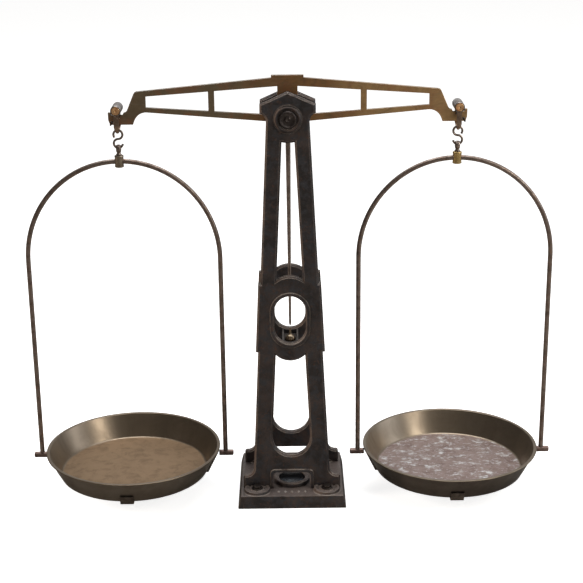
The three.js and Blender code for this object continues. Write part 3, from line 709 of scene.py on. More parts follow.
def copperFinish():
    look = copperLook
    material, tree, shader, vector = startMaterial("plugCopper", 0.8)
    colour, stains = layPatches(tree, vector, look["base"], look["dark"], look["stained"])
    colour = mixColours(tree, wornEdges(tree, vector, look), colour, look["bright"])
    setSurface(tree, shader, colour, stains, look["rough"])
    grain = useGroup(tree, "castGrain", vector, **look["grain"])
    addBump(tree, shader, grain["Height"], *look["bump"])
    return material


glassLook = {
    "tint": (0.34, 0.38, 0.43, 1),
    "haze": (0.14, 0.15, 0.17, 1),
    "liquid": (0.050, 0.056, 0.068, 1),
    "bubble": (0.10, 0.11, 0.13, 1),
    "shade": (0.004, 0.004, 0.005, 1),
    "hazed": (90.0, 0.55, 0.15, 0.5, 1.0),
    "clouded": (70.0, 0.5, 0.3, 0.3, 1.0),
    "cloudShade": 0.55,
    "glassRough": (0.06, 0.22),
    "liquidRough": (0.12, 0.24),
    "shadeFrom": (-0.031, -0.022),  # metres, front to back
    "shadeAmount": 0.9,
}


def shadeBack(tree, vector, colour):
    # painted shadow: the level darkens towards its back, under the frame's arch
    back = stretchRange(tree, splitVector(tree, vector)[1], *glassLook["shadeFrom"])
    return layColour(tree, colour, glassLook["shade"], back, glassLook["shadeAmount"])


def levelGlassFinish():
    look = glassLook
    material, tree, shader, vector = startMaterial("levelGlass", 0.0)
    shader.inputs["Transmission Weight"].default_value = 0.85
    shader.inputs["IOR"].default_value = 1.45
    colour, haze = layPatches(tree, vector, look["tint"], look["haze"], look["hazed"])
    setSurface(tree, shader, shadeBack(tree, vector, colour), haze, look["glassRough"])
    return material


def levelLiquidFinish(name, colour):
    look = glassLook
    material, tree, shader, vector = startMaterial(name, 0.0)
    darker = dimmed(colour, look["cloudShade"])
    colour, cloud = layPatches(tree, vector, colour, darker, look["clouded"])
    setSurface(tree, shader, shadeBack(tree, vector, colour), cloud, look["liquidRough"])
    return material


materials = {
    "castIron": castIronFinish("castIron", castIronLook),
    "wornIron": castIronFinish("wornIron", wornIronLook),
    "beamBrass": beamBrassFinish(),
    "leftPan": panFinish("left"),
    "rightPan": panFinish("right"),
    "copper": copperFinish(),
    "levelGlass": levelGlassFinish(),
    "levelLiquid": levelLiquidFinish("levelLiquid", glassLook["liquid"]),
    "levelBubble": levelLiquidFinish("levelBubble", glassLook["bubble"]),
}
for steelName in steelLooks:
    materials[steelName] = steelFinish(steelName)
for brassName in brassLooks:
    materials[brassName] = smallBrassFinish(brassName)
print("materials made:", len(materials))


# floor and surroundings
floorFacts = {
    "size": 24,
    "colour": (0.80, 0.80, 0.795, 1),
    "mirrored": (0.34, 0.32, 0.29, 1),  # how it shows in the metal, as in a dim room
    "mirroredLeft": (0.19, 0.17, 0.15, 1),
    "leftToRight": (-0.5, 0.6),  # metres, from mirroredLeft to mirrored
    "glow": 0.80,
    "shade": 0.985,
    "clouded": (3.0, 0.5, 0.4, 0.3, 1.0),
}


def makeFloor():
    bm = bmesh.new()
    bmesh.ops.create_grid(bm, x_segments=2, y_segments=2, size=floorFacts["size"] / 2)
    mesh = bpy.data.meshes.new("floor")
    bm.to_mesh(mesh)
    bm.free()
    floor = bpy.data.objects.new("floor", mesh)
    bpy.context.scene.collection.objects.link(floor)
    material, tree, shader, vector = startMaterial("paleFloor", 0.0, 0.1)
    colour = floorFacts["colour"]
    shade = dimmed(colour, floorFacts["shade"])
    pale = layPatches(tree, vector, colour, shade, floorFacts["clouded"])[0]
    fromLeft = stretchRange(tree, splitVector(tree, vector)[0], *floorFacts["leftToRight"])
    dim = mixColours(tree, fromLeft, floorFacts["mirroredLeft"], floorFacts["mirrored"])
    toCamera = putNode(tree, "ShaderNodeLightPath").outputs["Is Camera Ray"]
    tree.links.new(mixColours(tree, toCamera, dim, pale), shader.inputs["Base Color"])
    shader.inputs["Roughness"].default_value = 0.9
    shader.inputs["Emission Color"].default_value = (1, 1, 1, 1)
    glow = multiply(tree, toCamera, floorFacts["glow"])
    tree.links.new(glow, shader.inputs["Emission Strength"])
    floor.data.materials.append(material)


def makeWorld():
    world = bpy.data.worlds.new("studio")
    bpy.context.scene.world = world
    world.use_nodes = True
    tree = world.node_tree
    tree.nodes.clear()
    coords = putNode(tree, "ShaderNodeTexCoord")
    x, y = splitVector(tree, coords.outputs["Generated"])[:2]
    toBack = stretchRange(tree, y, *worldFacts["toBack"])
    room = mixColours(tree, toBack, worldFacts["front"], worldFacts["back"])
    toRight = stretchRange(tree, x, *worldFacts["toRight"])
    room = mixColours(tree, toRight, room, worldFacts["right"])
    toLeft = stretchRange(tree, x, *worldFacts["toLeft"])
    room = mixColours(tree, toLeft, room, worldFacts["left"])
    toCamera = putNode(tree, "ShaderNodeLightPath").outputs["Is Camera Ray"]
    seen = mixColours(tree, toCamera, room, worldFacts["seen"])
    values = {"Strength": worldFacts["strength"]}
    background = putNode(tree, "ShaderNodeBackground", values=values)
    tree.links.new(seen, background.inputs[0])
    output = putNode(tree, "ShaderNodeOutputWorld")
    tree.links.new(background.outputs[0], output.inputs[0])
    bpy.context.scene.view_settings.view_transform = "Standard"


makeCamera()
makeLights()
makeFloor()
makeWorld()
print("camera, lights and floor made")


# mesh helpers; sizes are in millimetres until finishPiece
finishFacts = {"bevelAngle": 28, "sharpAngle": 50}


def finishPiece(bm, name, material, body, nodes, bevel=0.0, segments=3):
    bmesh.ops.scale(bm, vec=(mm, mm, mm), verts=bm.verts)
    for face in bm.faces:
        face.smooth = True
    mesh = bpy.data.meshes.new(name)
    bm.to_mesh(mesh)
    bm.free()
    piece = bpy.data.objects.new(name, mesh)
    bpy.context.scene.collection.objects.link(piece)
    mesh.materials.append(materials[material])
    if bevel:
        rounding = piece.modifiers.new("rounding", "BEVEL")
        rounding.width = bevel * mm
        rounding.segments = segments
        rounding.limit_method = "ANGLE"
        rounding.angle_limit = math.radians(finishFacts["bevelAngle"])
    mesh.set_sharp_from_angle(angle=math.radians(finishFacts["sharpAngle"]))
    weighted = piece.modifiers.new("shading", "WEIGHTED_NORMAL")
    weighted.keep_sharp = not bevel
    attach(piece, body)
    if nodes:
        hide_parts(*nodes)


def spun(profile, steps=64):
    # a profile of (radius, height) turned round Z
    bm = bmesh.new()
    verts = [bm.verts.new((radius, 0, height)) for radius, height in profile]
    edges = [bm.edges.new(pair) for pair in zip(verts, verts[1:])]
    turn = {"cent": (0, 0, 0), "axis": (0, 0, 1), "angle": 2 * math.pi}
    bmesh.ops.spin(bm, geom=verts + edges, steps=steps, use_merge=True, **turn)
    bmesh.ops.remove_doubles(bm, verts=bm.verts, dist=1e-4)
    bmesh.ops.recalc_face_normals(bm, faces=bm.faces)
    return bm


def turnBmesh(bm, angle, axis):
    turn = Matrix.Rotation(math.radians(angle), 3, axis)
    bmesh.ops.rotate(bm, cent=(0, 0, 0), matrix=turn, verts=bm.verts)
    return bm


def moveBmesh(bm, x=0.0, y=0.0, z=0.0):
    bmesh.ops.translate(bm, vec=(x, y, z), verts=bm.verts)
    return bm


def joinBmeshes(bms):
    whole = bmesh.new()
    for bm in bms:
        mesh = bpy.data.meshes.new("part")
        bm.to_mesh(mesh)
        bm.free()
        whole.from_mesh(mesh)
        bpy.data.meshes.remove(mesh)
    return whole


def arc(centreX, centreZ, radius, start, end, steps):
    turn = (end - start) / steps
    angles = [math.radians(start + turn * place) for place in range(steps + 1)]
    return [(centreX + radius * math.cos(a), centreZ + radius * math.sin(a)) for a in angles]


def mirrored(right):
    # an outline whose left half repeats its right half
    left = [(-x, z) for x, z in reversed(right) if x > 1e-6]
    return right + left


def area(outline):
    # more than 0 where the outline runs anticlockwise
    pairs = zip(outline, outline[1:] + outline[:1])
    return sum(x0 * z1 - x1 * z0 for (x0, z0), (x1, z1) in pairs) / 2


def curveMesh(curve):
    drawn = bpy.data.objects.new("drawn", curve)
    bpy.context.scene.collection.objects.link(drawn)
    bpy.context.view_layer.update()
    depsgraph = bpy.context.evaluated_depsgraph_get()
    mesh = bpy.data.meshes.new_from_object(drawn.evaluated_get(depsgraph))
    bm = bmesh.new()
    bm.from_mesh(mesh)
    bpy.data.objects.remove(drawn)
    bpy.data.meshes.remove(mesh)
    bpy.data.curves.remove(curve)
    bmesh.ops.remove_doubles(bm, verts=bm.verts, dist=1e-4)
    return bm


def flatPlate(outer, holes, thickness, bevel, steps=0):
    # outlines of (x, z), as a plate that stands on Y = 0
    curve = bpy.data.curves.new("outline", "CURVE")
    curve.dimensions = "2D"
    curve.fill_mode = "BOTH"
    curve.extrude = thickness / 2 - bevel
    curve.bevel_depth = bevel
    curve.bevel_resolution = steps
    curve.offset = -bevel
    for outline, sign in [(outer, 1)] + [(hole, -1) for hole in holes]:
        points = outline if area(outline) * sign > 0 else outline[::-1]
        spline = curve.splines.new("POLY")
        spline.points.add(len(points) - 1)
        for point, (x, z) in zip(spline.points, points):
            point.co = (x, z, 0, 1)
        spline.use_cyclic_u = True
    return turnBmesh(curveMesh(curve), 90, "X")


def bentWire(points, radius, cyclic=False, resolution=6):
    # a round wire through points, with closed ends
    curve = bpy.data.curves.new("wire", "CURVE")
    curve.dimensions = "3D"
    curve.bevel_depth = radius
    curve.bevel_resolution = resolution
    curve.use_fill_caps = not cyclic
    spline = curve.splines.new("POLY")
    spline.points.add(len(points) - 1)
    for point, place in zip(spline.points, points):
        point.co = (*place, 1)
    spline.use_cyclic_u = cyclic
    return curveMesh(curve)


def copyOfNode(node):
    # the node's own mesh in millimetres, merged, with its flat faces made whole
    bm = bmesh.new()
    bm.from_mesh(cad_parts[node].data)
    bmesh.ops.remove_doubles(bm, verts=bm.verts, dist=1e-6)
    bmesh.ops.dissolve_limit(bm, angle_limit=math.radians(1), verts=bm.verts, edges=bm.edges)
    bmesh.ops.scale(bm, vec=(1000, 1000, 1000), verts=bm.verts)
    return bm


def softenedNode(node, material, body, bevel, segments=3):
    shape = copyOfNode(node)
    finishPiece(shape, node + "_shape", material, body, [node], bevel, segments)


# column
castingFacts = {
    "thickness": 10,
    "chamfer": 2.5,
    "footOffset": 41,
    "baseTop": 17,
    "lean": 0.0504,
    "footHalf": 66,
    "footTop": 36,
    "footFillet": 10,
    "legTop": 521,
    "legHalfAtFoot": 51.6,
    "legHalfAtTop": 27.9,
    "lowerLeg": 24,
    "upperLeg": 21.1,
    "archHalf": 25.5,
    "archTop": 41,
    "archCorner": 5,
    "borderWidth": 4,
    "borderHeight": 1.6,
    "collarBottom": 212,
    "collarTop": 307,
    "collarStep": 3,
    "ringRadius": 20.8,
    "ringBottom": 224.5,
    "ringTop": 289,
    "lowerBottom": 65,
    "lowerTop": 200,
    "lowerTopRadius": 28,
    "upperBottom": 317,
    "upperBottomRadius": 30,
    "chin": 493,
    "chinRadius": 33,
    "headHalf": 36,
    "cornerZ": 531.5,
    "neck": (28.6, 528.5),  # pulls the curve from leg to head
    "shoulderZ": 543,
    "apexZ": 559,
    "bossZ": 524,
    "bossRadius": 17.5,
    "bossRecess": 11.4,
    "lugX": 47.5,
    "lugY": -51.5,
    "lugRadius": 17.5,
    "lugHeight": 4.4,
    "boltY": -53.5,
}


def legOuter(z):
    c = castingFacts
    slope = (c["legHalfAtFoot"] - c["legHalfAtTop"]) / (c["legTop"] - c["footTop"] - c["footFillet"])
    return c["legHalfAtTop"] + (c["legTop"] - z) * slope


def quadratic(start, control, end, steps):
    # the points after start, on a curve that the control point pulls
    points = []
    for place in range(1, steps + 1):
        t = place / steps
        first, pull, last = (1 - t) ** 2, 2 * t * (1 - t), t * t
        x, z = (first * a + pull * b + last * c for a, b, c in zip(start, control, end))
        points.append((x, z))
    return points


def castingOutline():
    c = castingFacts
    corner = c["archCorner"]
    filletZ = c["footTop"] + c["footFillet"]
    right = arc(c["archHalf"] - corner, c["archTop"] - corner, corner, 90, 0, 6)
    right += [(c["archHalf"], c["baseTop"]), (c["footHalf"], c["baseTop"])]
    right += arc(c["footHalf"] - 3, c["footTop"] - 3, 3, 0, 90, 5)
    right += arc(legOuter(filletZ) + c["footFillet"], filletZ, c["footFillet"], -90, -180, 12)
    right += [(legOuter(c["collarBottom"]), c["collarBottom"])]
    right += [(legOuter(c["collarBottom"]) + c["collarStep"], c["collarBottom"])]
    right += [(legOuter(c["collarTop"]) + c["collarStep"], c["collarTop"])]
    right += [(legOuter(c["collarTop"]), c["collarTop"]), (c["legHalfAtTop"], c["legTop"])]
    right += quadratic(right[-1], c["neck"], (c["headHalf"], c["cornerZ"]), 8)
    right += [(c["headHalf"], c["shoulderZ"]), (0, c["apexZ"])]
    return mirrored(right)


def lowerOpening():
    c = castingFacts
    radius = legOuter(c["lowerBottom"] + 25) - c["lowerLeg"]
    topHalf = legOuter(c["lowerTop"] + 8) - c["lowerLeg"]
    angle = math.degrees(math.asin(topHalf / c["lowerTopRadius"]))
    right = arc(0, c["lowerBottom"] + radius, radius, -90, 0, 20)
    right += arc(0, c["lowerTop"] + c["lowerTopRadius"], c["lowerTopRadius"], angle - 90, -90, 14)
    return mirrored(right)


def upperOpening():
    c = castingFacts
    lowHalf = legOuter(c["upperBottom"] - 5) - c["upperLeg"]
    highHalf = legOuter(c["chin"]) - c["upperLeg"]
    low = math.degrees(math.asin(lowHalf / c["upperBottomRadius"]))
    high = math.degrees(math.asin(highHalf / c["chinRadius"]))
    right = arc(0, c["upperBottom"] - c["upperBottomRadius"], c["upperBottomRadius"], 90, 90 - low, 12)
    right += arc(0, c["chin"] + c["chinRadius"], c["chinRadius"], high - 90, -90, 8)
    return mirrored(right)


def racetrack(radius, bottom, top):
    right = arc(0, bottom, radius, -90, 0, 24) + arc(0, top, radius, 0, 90, 24)
    return mirrored(right)


def ringTrack(radius):
    c = castingFacts
    return racetrack(radius, c["ringBottom"] + c["ringRadius"], c["ringTop"] - c["ringRadius"])


def archBorder():
    c = castingFacts
    inner = c["archHalf"] - 0.4
    outer = c["archHalf"] + c["borderWidth"]
    innerTop = c["archTop"] - 0.4
    outerTop = c["archTop"] + c["borderWidth"]
    corner = c["archCorner"]
    right = arc(inner - corner, innerTop - corner, corner, 90, 0, 6)
    right += [(inner, c["baseTop"]), (outer, c["baseTop"])]
    right += arc(outer - corner - 1, outerTop - corner - 1, corner + 1, 0, 90, 8)
    left = [(-x, z) for x, z in reversed(right)]
    bm = flatPlate(right + [(0, outerTop)] + left, [], 4, 1.0, 2)
    return moveBmesh(bm, y=2 - c["thickness"] / 2 - c["borderHeight"])


def ringRim():
    c = castingFacts
    outer = ringTrack(c["ringRadius"] + c["chamfer"] + 3.2)
    inner = ringTrack(c["ringRadius"] + 1.2)
    return moveBmesh(flatPlate(outer, [inner], 3, 0.9, 2), y=1.5 - c["thickness"] / 2 - 1.2)


def headBoss():
    # a domed ring round the bearing stud
    c = castingFacts
    face = c["thickness"] / 2
    outer = c["bossRadius"]
    inner = c["bossRecess"] + 1
    middle = (inner + outer) / 2
    half = (outer - inner) / 2
    angles = [math.pi * step / 12 for step in range(13)]
    dome = [(middle + half * math.cos(a), face + 0.4 + 3.4 * math.sin(a)) for a in angles[:11]]
    profile = [(0, face - 1), (outer + 1.2, face - 1), (outer + 0.9, face + 0.1)] + dome
    profile += [(c["bossRecess"] - 0.3, face + 2), (0, face + 2)]
    return moveBmesh(turnBmesh(spun(profile, 72), 90, "X"), z=c["bossZ"])


def footLug(side, localY):
    # a round foot with a raised rim, which the bolt stands in
    c = castingFacts
    low = c["baseTop"]
    top = low + c["lugHeight"]
    radius = c["lugRadius"]
    profile = [(0, low), (radius + 1.6, low), (radius + 0.5, low + 1), (radius, top - 1.8)]
    profile += [(radius - 0.6, top - 0.5), (radius - 1.9, top), (radius - 3.8, top)]
    profile += [(radius - 4.8, top - 1.2), (10.4, top - 1.3), (9.6, top - 0.3), (0, top - 0.3)]
    return moveBmesh(spun(profile, 56), side * c["lugX"], c["lugY"] + localY)


def castFrame():
    c = castingFacts
    openings = [lowerOpening(), ringTrack(c["ringRadius"]), upperOpening()]
    casting = flatPlate(castingOutline(), openings, c["thickness"], c["chamfer"])
    parts = [casting, archBorder(), ringRim(), headBoss()]
    parts += [footLug(side, c["footOffset"]) for side in (-1, 1)]
    whole = joinBmeshes(parts)
    # leaned back from the middle of its foot towards the column's centre
    base = c["footOffset"] + c["lean"] * c["baseTop"]
    leaned = Matrix(((1, 0, 0, 0), (0, 1, c["lean"], -base), (0, 0, 1, 0), (0, 0, 0, 1)))
    bmesh.ops.transform(whole, matrix=leaned, verts=whole.verts)
    return whole


baseFacts = {
    "width": 147,
    "topWidth": 139,
    "height": 17,
    "lozenges": 5,
    "pitch": 9,
    "lozengeY": -57,
    "halfWidth": 3,
    "halfLength": 4.4,
    "rise": 1,
}


def castBase():
    b = baseFacts
    block = bmesh.new()
    bmesh.ops.create_cube(block, size=1)
    bmesh.ops.scale(block, vec=(b["width"], b["width"], b["height"]), verts=block.verts)
    moveBmesh(block, z=b["height"] / 2)
    upper = [vert for vert in block.verts if vert.co.z > b["height"] / 2]
    taper = b["topWidth"] / b["width"]
    bmesh.ops.scale(block, vec=(taper, taper, 1), verts=upper)
    return block


def baseMarks():
    # five plain raised lozenges at the front of the base
    b = baseFacts
    parts = []
    for place in range(b["lozenges"]):
        mark = bmesh.new()
        depth = b["rise"] + 1
        bmesh.ops.create_cone(mark, cap_ends=True, segments=4, radius1=1, radius2=0.5, depth=depth)
        bmesh.ops.scale(mark, vec=(b["halfWidth"], b["halfLength"], 1), verts=mark.verts)
        x = (place - (b["lozenges"] - 1) / 2) * b["pitch"]
        parts.append(moveBmesh(mark, x, b["lozengeY"], b["height"] + (b["rise"] - 1) / 2))
    return joinBmeshes(parts)


studFacts = {"shank": 4.5, "head": 11}


def bearingStud():
    # a turned cap with a thin raised rim, a sunk face and a button in the middle
    c = castingFacts
    under = c["footOffset"] - c["lean"] * (c["bossZ"] - c["baseTop"]) + c["thickness"] / 2 + 1.4
    head = studFacts["head"]
    shank = studFacts["shank"]
    profile = [(0, 4.2), (shank, 4.2), (shank, under), (head, under), (head, under + 2.4)]
    profile += [(head - 0.4, under + 3.2), (head - 1.1, under + 3.5), (head - 1.8, under + 3.2)]
    profile += [(head - 2.2, under + 2.2), (head - 3, under + 1.2), (4.6, under + 1), (4, under + 1.4)]
    profile += [(3.6, under + 2.4), (2.8, under + 2.9), (2, under + 2.7)]
    profile += [(1.5, under + 1.8), (0, under + 1.7)]
    return moveBmesh(turnBmesh(spun(profile, 72), 90, "X"), z=c["bossZ"])


boltFacts = {"radius": 4, "acrossFlats": 10.6, "headHeight": 4, "length": 16, "washer": 7.6}


def footBolt(x, y):
    b = boltFacts
    seat = castingFacts["baseTop"] + castingFacts["lugHeight"] + 0.3
    top = seat + b["headHeight"]
    head = bmesh.new()
    corner = b["acrossFlats"] / math.sqrt(3)
    size = {"radius1": corner, "radius2": corner, "depth": b["headHeight"]}
    bmesh.ops.create_cone(head, cap_ends=True, segments=6, **size)
    turnBmesh(head, 30, "Z")
    moveBmesh(head, z=(seat + top) / 2)
    topEdges = [edge for edge in head.edges if min(vert.co.z for vert in edge.verts) > top - 0.1]
    shape = {"affect": "EDGES", "segments": 2, "profile": 0.5, "material": -1}
    bmesh.ops.bevel(head, geom=topEdges, offset=1.2, offset_type="OFFSET", **shape)
    outer = b["washer"]
    ring = [(0, seat - 0.25), (outer, seat - 0.25), (outer, seat + 0.4), (outer - 0.4, seat + 0.8)]
    washer = spun(ring + [(0, seat + 0.8)], 48)
    tip = seat - b["length"]
    shank = spun([(0, tip), (b["radius"], tip), (b["radius"], seat + 1), (0, seat + 1)], 32)
    return moveBmesh(joinBmeshes([head, washer, shank]), x, y)


levelFacts = {"y": -21, "radius": 24.5, "height": 6, "well": 18, "wellFloor": 2, "bubble": 4.4}


def levelPiece(bm, name, material, nodes, bevel=0.0, back=0.0):
    moveBmesh(bm, y=levelFacts["y"] + back)
    finishPiece(bm, name, material, "column", nodes, bevel, 2)


def makeLevel():
    v = levelFacts
    bottom = castingFacts["baseTop"] + 0.3
    top = bottom + v["height"]
    outer = v["radius"]
    well = v["well"]
    sill = bottom + v["wellFloor"]
    profile = [(0, bottom), (outer, bottom), (outer, top - 1.8), (outer - 0.5, top - 0.7)]
    profile += [(outer - 1.7, top), (outer - 3.2, top), (outer - 3.7, top - 0.5), (well + 1.6, top - 0.5)]
    profile += [(well + 0.9, top - 0.2), (well, top - 1), (well, sill), (0, sill)]
    levelPiece(spun(profile, 96), "level_body", "castIron", ["level_case"], 0.25)
    low = sill + 0.15
    wide = well - 0.4
    liquid = spun([(0, low), (wide, low), (wide, low + 1.2), (0, low + 1.2)], 72)
    levelPiece(liquid, "level_liquid", "levelLiquid", [], 0.2)
    near = v["bubble"] + 1.2
    rim = [(near, low + 1.25), (near + 0.5, low + 1.25), (near + 0.5, low + 1.4), (near, low + 1.4)]
    levelPiece(spun(rim + rim[:1], 48), "level_ring", "darkSteel", [])
    angles = [math.pi / 2 * step / 6 for step in range(6)]
    crest = [(v["bubble"] * math.cos(a), low + 1.22 + 0.35 * math.sin(a)) for a in angles]
    bubble = spun([(0, low + 1.22)] + crest + [(0, low + 1.57)], 36)
    levelPiece(bubble, "level_bubble", "levelBubble", [], back=0.8)
    glassLow = low + 1.7
    wide = well - 0.3
    steps = range(9)
    crown = [(wide * (1 - k / 8), glassLow + 0.7 + 0.9 * math.sin(math.pi / 2 * k / 8)) for k in steps]
    glass = spun([(0, glassLow), (wide, glassLow)] + crown, 72)
    levelPiece(glass, "level_window", "levelGlass", ["level_glass"], 0.15)


indexFacts = {"seat": 217.7, "base": 7.4, "tip": 234.5}


def indexPin():
    seat = indexFacts["seat"]
    wide = indexFacts["base"]
    tip = indexFacts["tip"]
    profile = [(0, seat), (wide, seat), (wide, seat + 2), (wide - 0.4, seat + 2.5), (6.2, seat + 3.2)]
    profile += [(5.6, seat + 5), (4.2, seat + 6.2), (2.6, seat + 7), (1.5, seat + 8.4), (1.2, seat + 11)]
    profile += [(1.1, tip - 2.4), (0.7, tip - 0.8), (0, tip)]
    return spun(profile, 48)


def makeColumn():
    c = castingFacts
    finishPiece(castBase(), "base_casting", "castIron", "column", ["base_plate"], 1.1, 3)
    finishPiece(baseMarks(), "base_marks", "wornIron", "column", [], 0.2, 2)
    for end, turn in (("front", 0), ("back", 180)):
        whole = turnBmesh(castFrame(), turn, "Z")
        name = end + "_frame"
        finishPiece(whole, end + "_casting", "castIron", "column", [name], 0.45, 2)
        stud = turnBmesh(bearingStud(), turn, "Z")
        name = end + "_bearing_stud"
        finishPiece(stud, end + "_stud_turned", "studSteel", "column", [name])
        softenedNode(end + "_bearing_block", "groundSteel", "column", 0.5)
        y = c["boltY"] if end == "front" else -c["boltY"]
        for side, sign in sides.items():
            name = end + "_" + side + "_bolt"
            bolt = footBolt(sign * c["lugX"], y)
            finishPiece(bolt, name + "_set", "darkSteel", "column", [name], 0.2, 2)
    makeLevel()
    finishPiece(indexPin(), "index_point", "indexBrass", "column", ["index_pin"])
    softenedNode("index_bridge", "bridgeSteel", "column", 0.5)


makeColumn()
print("column made")


# beam
beamFacts = {
    "thickness": 5,
    "blockHalf": 20.8,
    "blockTop": 577.4,
    "chordTopCentre": 574,
    "shoulderX": 195.6,
    "shoulderZ": 558,
    "postHalf": 13,
    "postX": 97.7,
    "postWidth": 7.8,
    "windowEnd": 181.8,
    "windowSlope": 0.0682,
    "windowTopCentre": 564,
    "windowBottomCentre": 525,
    "chordBottomHub": 517.2,
    "chordBottomEnd": 531.1,
    "hubHalf": 20,
    "hubTop": 543,
    "hubShoulder": 551,
    "tongueHalf": 12,
    "tongueBottom": 505,
    "noseBottom": 515.4,
    "noseInner": 199,
    "noseOuter": 230.8,
    "saddleZ": 528,
    "saddleHalf": 7.4,
    "hornZ": 531.2,
    "slotFloor": 524.7,
    "knifeZ": 531,
    "keeperX": 226,
    "keeperZ": 518.6,
    "keeperRadius": 1.5,
    "centreKnifeZ": 533,
    "centreSlotHeight": 6.8,
}


def slotHalf(z):
    return (beamFacts["knifeZ"] - z) * math.tan(math.radians(30)) + 0.4


def beamOutline():
    b = beamFacts
    low = b["slotFloor"]
    saddle = b["saddleZ"]
    horn = b["hornZ"]
    shoulder = (b["shoulderX"], b["shoulderZ"])
    right = [(b["blockHalf"], b["blockTop"]), (b["blockHalf"], b["chordTopCentre"])]
    before = (shoulder[0] - 4, shoulder[1] + 0.4)
    after = (shoulder[0] + 1.4, shoulder[1] - 3)
    right += quadratic(before, shoulder, after, 4)
    right += quadratic((arm - 14, horn + 4), (arm - 12, horn), (arm - 10, horn), 4)
    right += [(arm - b["saddleHalf"] - 1.4, horn), (arm - b["saddleHalf"], saddle)]
    right += [(arm - slotHalf(saddle), saddle), (arm - slotHalf(low), low)]
    right += [(arm + slotHalf(low), low), (arm + slotHalf(saddle), saddle)]
    right += [(arm + b["saddleHalf"], saddle), (arm + b["saddleHalf"] + 1, horn), (b["noseOuter"], horn)]
    right += [(b["noseOuter"] - 0.2, b["noseBottom"] + 6), (b["noseOuter"] - 2.4, b["noseBottom"])]
    corner = (b["noseInner"], b["noseBottom"])
    pull = (b["noseInner"] - 4.5, b["chordBottomEnd"] - 0.4)
    right += [corner] + quadratic(corner, pull, (b["windowEnd"], b["chordBottomEnd"]), 16)
    right += [(b["hubHalf"], b["chordBottomHub"]), (b["tongueHalf"], b["chordBottomHub"] - 5)]
    right += [(b["tongueHalf"], b["tongueBottom"])]
    return mirrored(right)


def windowTop(x):
    return beamFacts["windowTopCentre"] - beamFacts["windowSlope"] * x


def windowBottom(x):
    return beamFacts["windowBottomCentre"] + beamFacts["windowSlope"] * x


def beamWindow(side, outer):
    b = beamFacts
    near = b["postX"] - b["postWidth"] / 2
    far = b["postX"] + b["postWidth"] / 2
    post = b["postHalf"]
    hub = b["hubHalf"]
    end = b["windowEnd"]
    if outer:
        points = [(far, windowTop(far)), (end, windowTop(end))]
        points += [(end, windowBottom(end)), (far, windowBottom(far))]
    else:
        points = [(post, windowTop(post)), (near, windowTop(near)), (near, windowBottom(near))]
        points += [(hub, windowBottom(hub)), (hub, b["hubTop"]), (post, b["hubShoulder"])]
    return [(side * x, z) for x, z in points]


def beamPlate():
    b = beamFacts
    holes = [beamWindow(side, outer) for side in (-1, 1) for outer in (False, True)]
    edge = b["centreKnifeZ"]
    height = b["centreSlotHeight"]
    half = height * math.tan(math.radians(30)) + 0.3
    holes.append([(0, edge - 0.4), (half, edge + height), (-half, edge + height)])
    for side in (-1, 1):
        holes.append(arc(side * b["keeperX"], b["keeperZ"], b["keeperRadius"], 0, 342, 19))
    return flatPlate(beamOutline(), holes, b["thickness"], 0.45, 1)


pointerFacts = {
    "top": 496.7,
    "collar": 5,
    "collarLength": 6,
    "topRadius": 3.3,
    "tipRadius": 1.6,
    "tip": 237,
}


def pointerRod():
    p = pointerFacts
    neck = p["top"] - p["collarLength"]
    collar = p["collar"]
    top = p["top"]
    profile = [(0, p["tip"]), (0.6, p["tip"] + 0.7), (p["tipRadius"], p["tip"] + 4)]
    profile += [(p["topRadius"], neck - 1.6), (collar - 0.8, neck - 0.2), (collar, neck + 1)]
    profile += [(collar, top - 0.6), (collar - 0.6, top), (0, top)]
    return spun(profile, 40)


keeperFacts = {"radius": 1.2, "half": 18}


def keeperRod(sign):
    radius = keeperFacts["radius"]
    half = keeperFacts["half"]
    profile = [(0, -half), (radius - 0.4, -half), (radius, -half + 0.4)]
    profile += [(radius, half - 0.4), (radius - 0.4, half), (0, half)]
    rod = turnBmesh(spun(profile, 24), 90, "X")
    return moveBmesh(rod, sign * beamFacts["keeperX"], 0, beamFacts["keeperZ"])


def makeBeam():
    finishPiece(beamPlate(), "beam_plate", "beamBrass", "beam", ["beam"])
    finishPiece(pointerRod(), "pointer_rod", "pointerSteel", "beam", ["pointer"])
    softenedNode("pointer_socket", "beamBrass", "beam", 0.8)
    softenedNode("centre_knife", "groundSteel", "beam", 0.12, 2)
    for side, sign in sides.items():
        softenedNode(side + "_end_knife", "groundSteel", "beam", 0.12, 2)
        name = side + "_keeper_pin"
        finishPiece(keeperRod(sign), side + "_keeper_rod", "darkSteel", "beam", [name])


makeBeam()
print("beam made")


# hanging chain and pans
shackleFacts = {
    "tube": 6.7,
    "tubeHalf": 14.5,
    "tubeZ": 535.6,
    "strapY": 11.8,
    "strapThick": 2.6,
    "barWidth": 3.4,
    "barZ": 505,
    "plug": 5.5,
    "plugLength": 3,
}


def shackleTube():
    s = shackleFacts
    half = s["tubeHalf"]
    bore = s["plug"] + 0.3
    seat = half - s["plugLength"] - 0.3
    profile = [(0, -seat), (bore, -seat), (bore, -half + 0.4), (bore + 0.3, -half)]
    profile += [(s["tube"] - 0.5, -half), (s["tube"], -half + 0.5)]
    profile += [(radius, -height) for radius, height in reversed(profile)]
    return moveBmesh(turnBmesh(spun(profile, 56), 90, "X"), z=s["tubeZ"])


def ringEdges(ring):
    # the edges that join two vertices of the same ring
    near = {edge for vert in ring for edge in vert.link_edges}
    return [edge for edge in near if all(vert in ring for vert in edge.verts)]


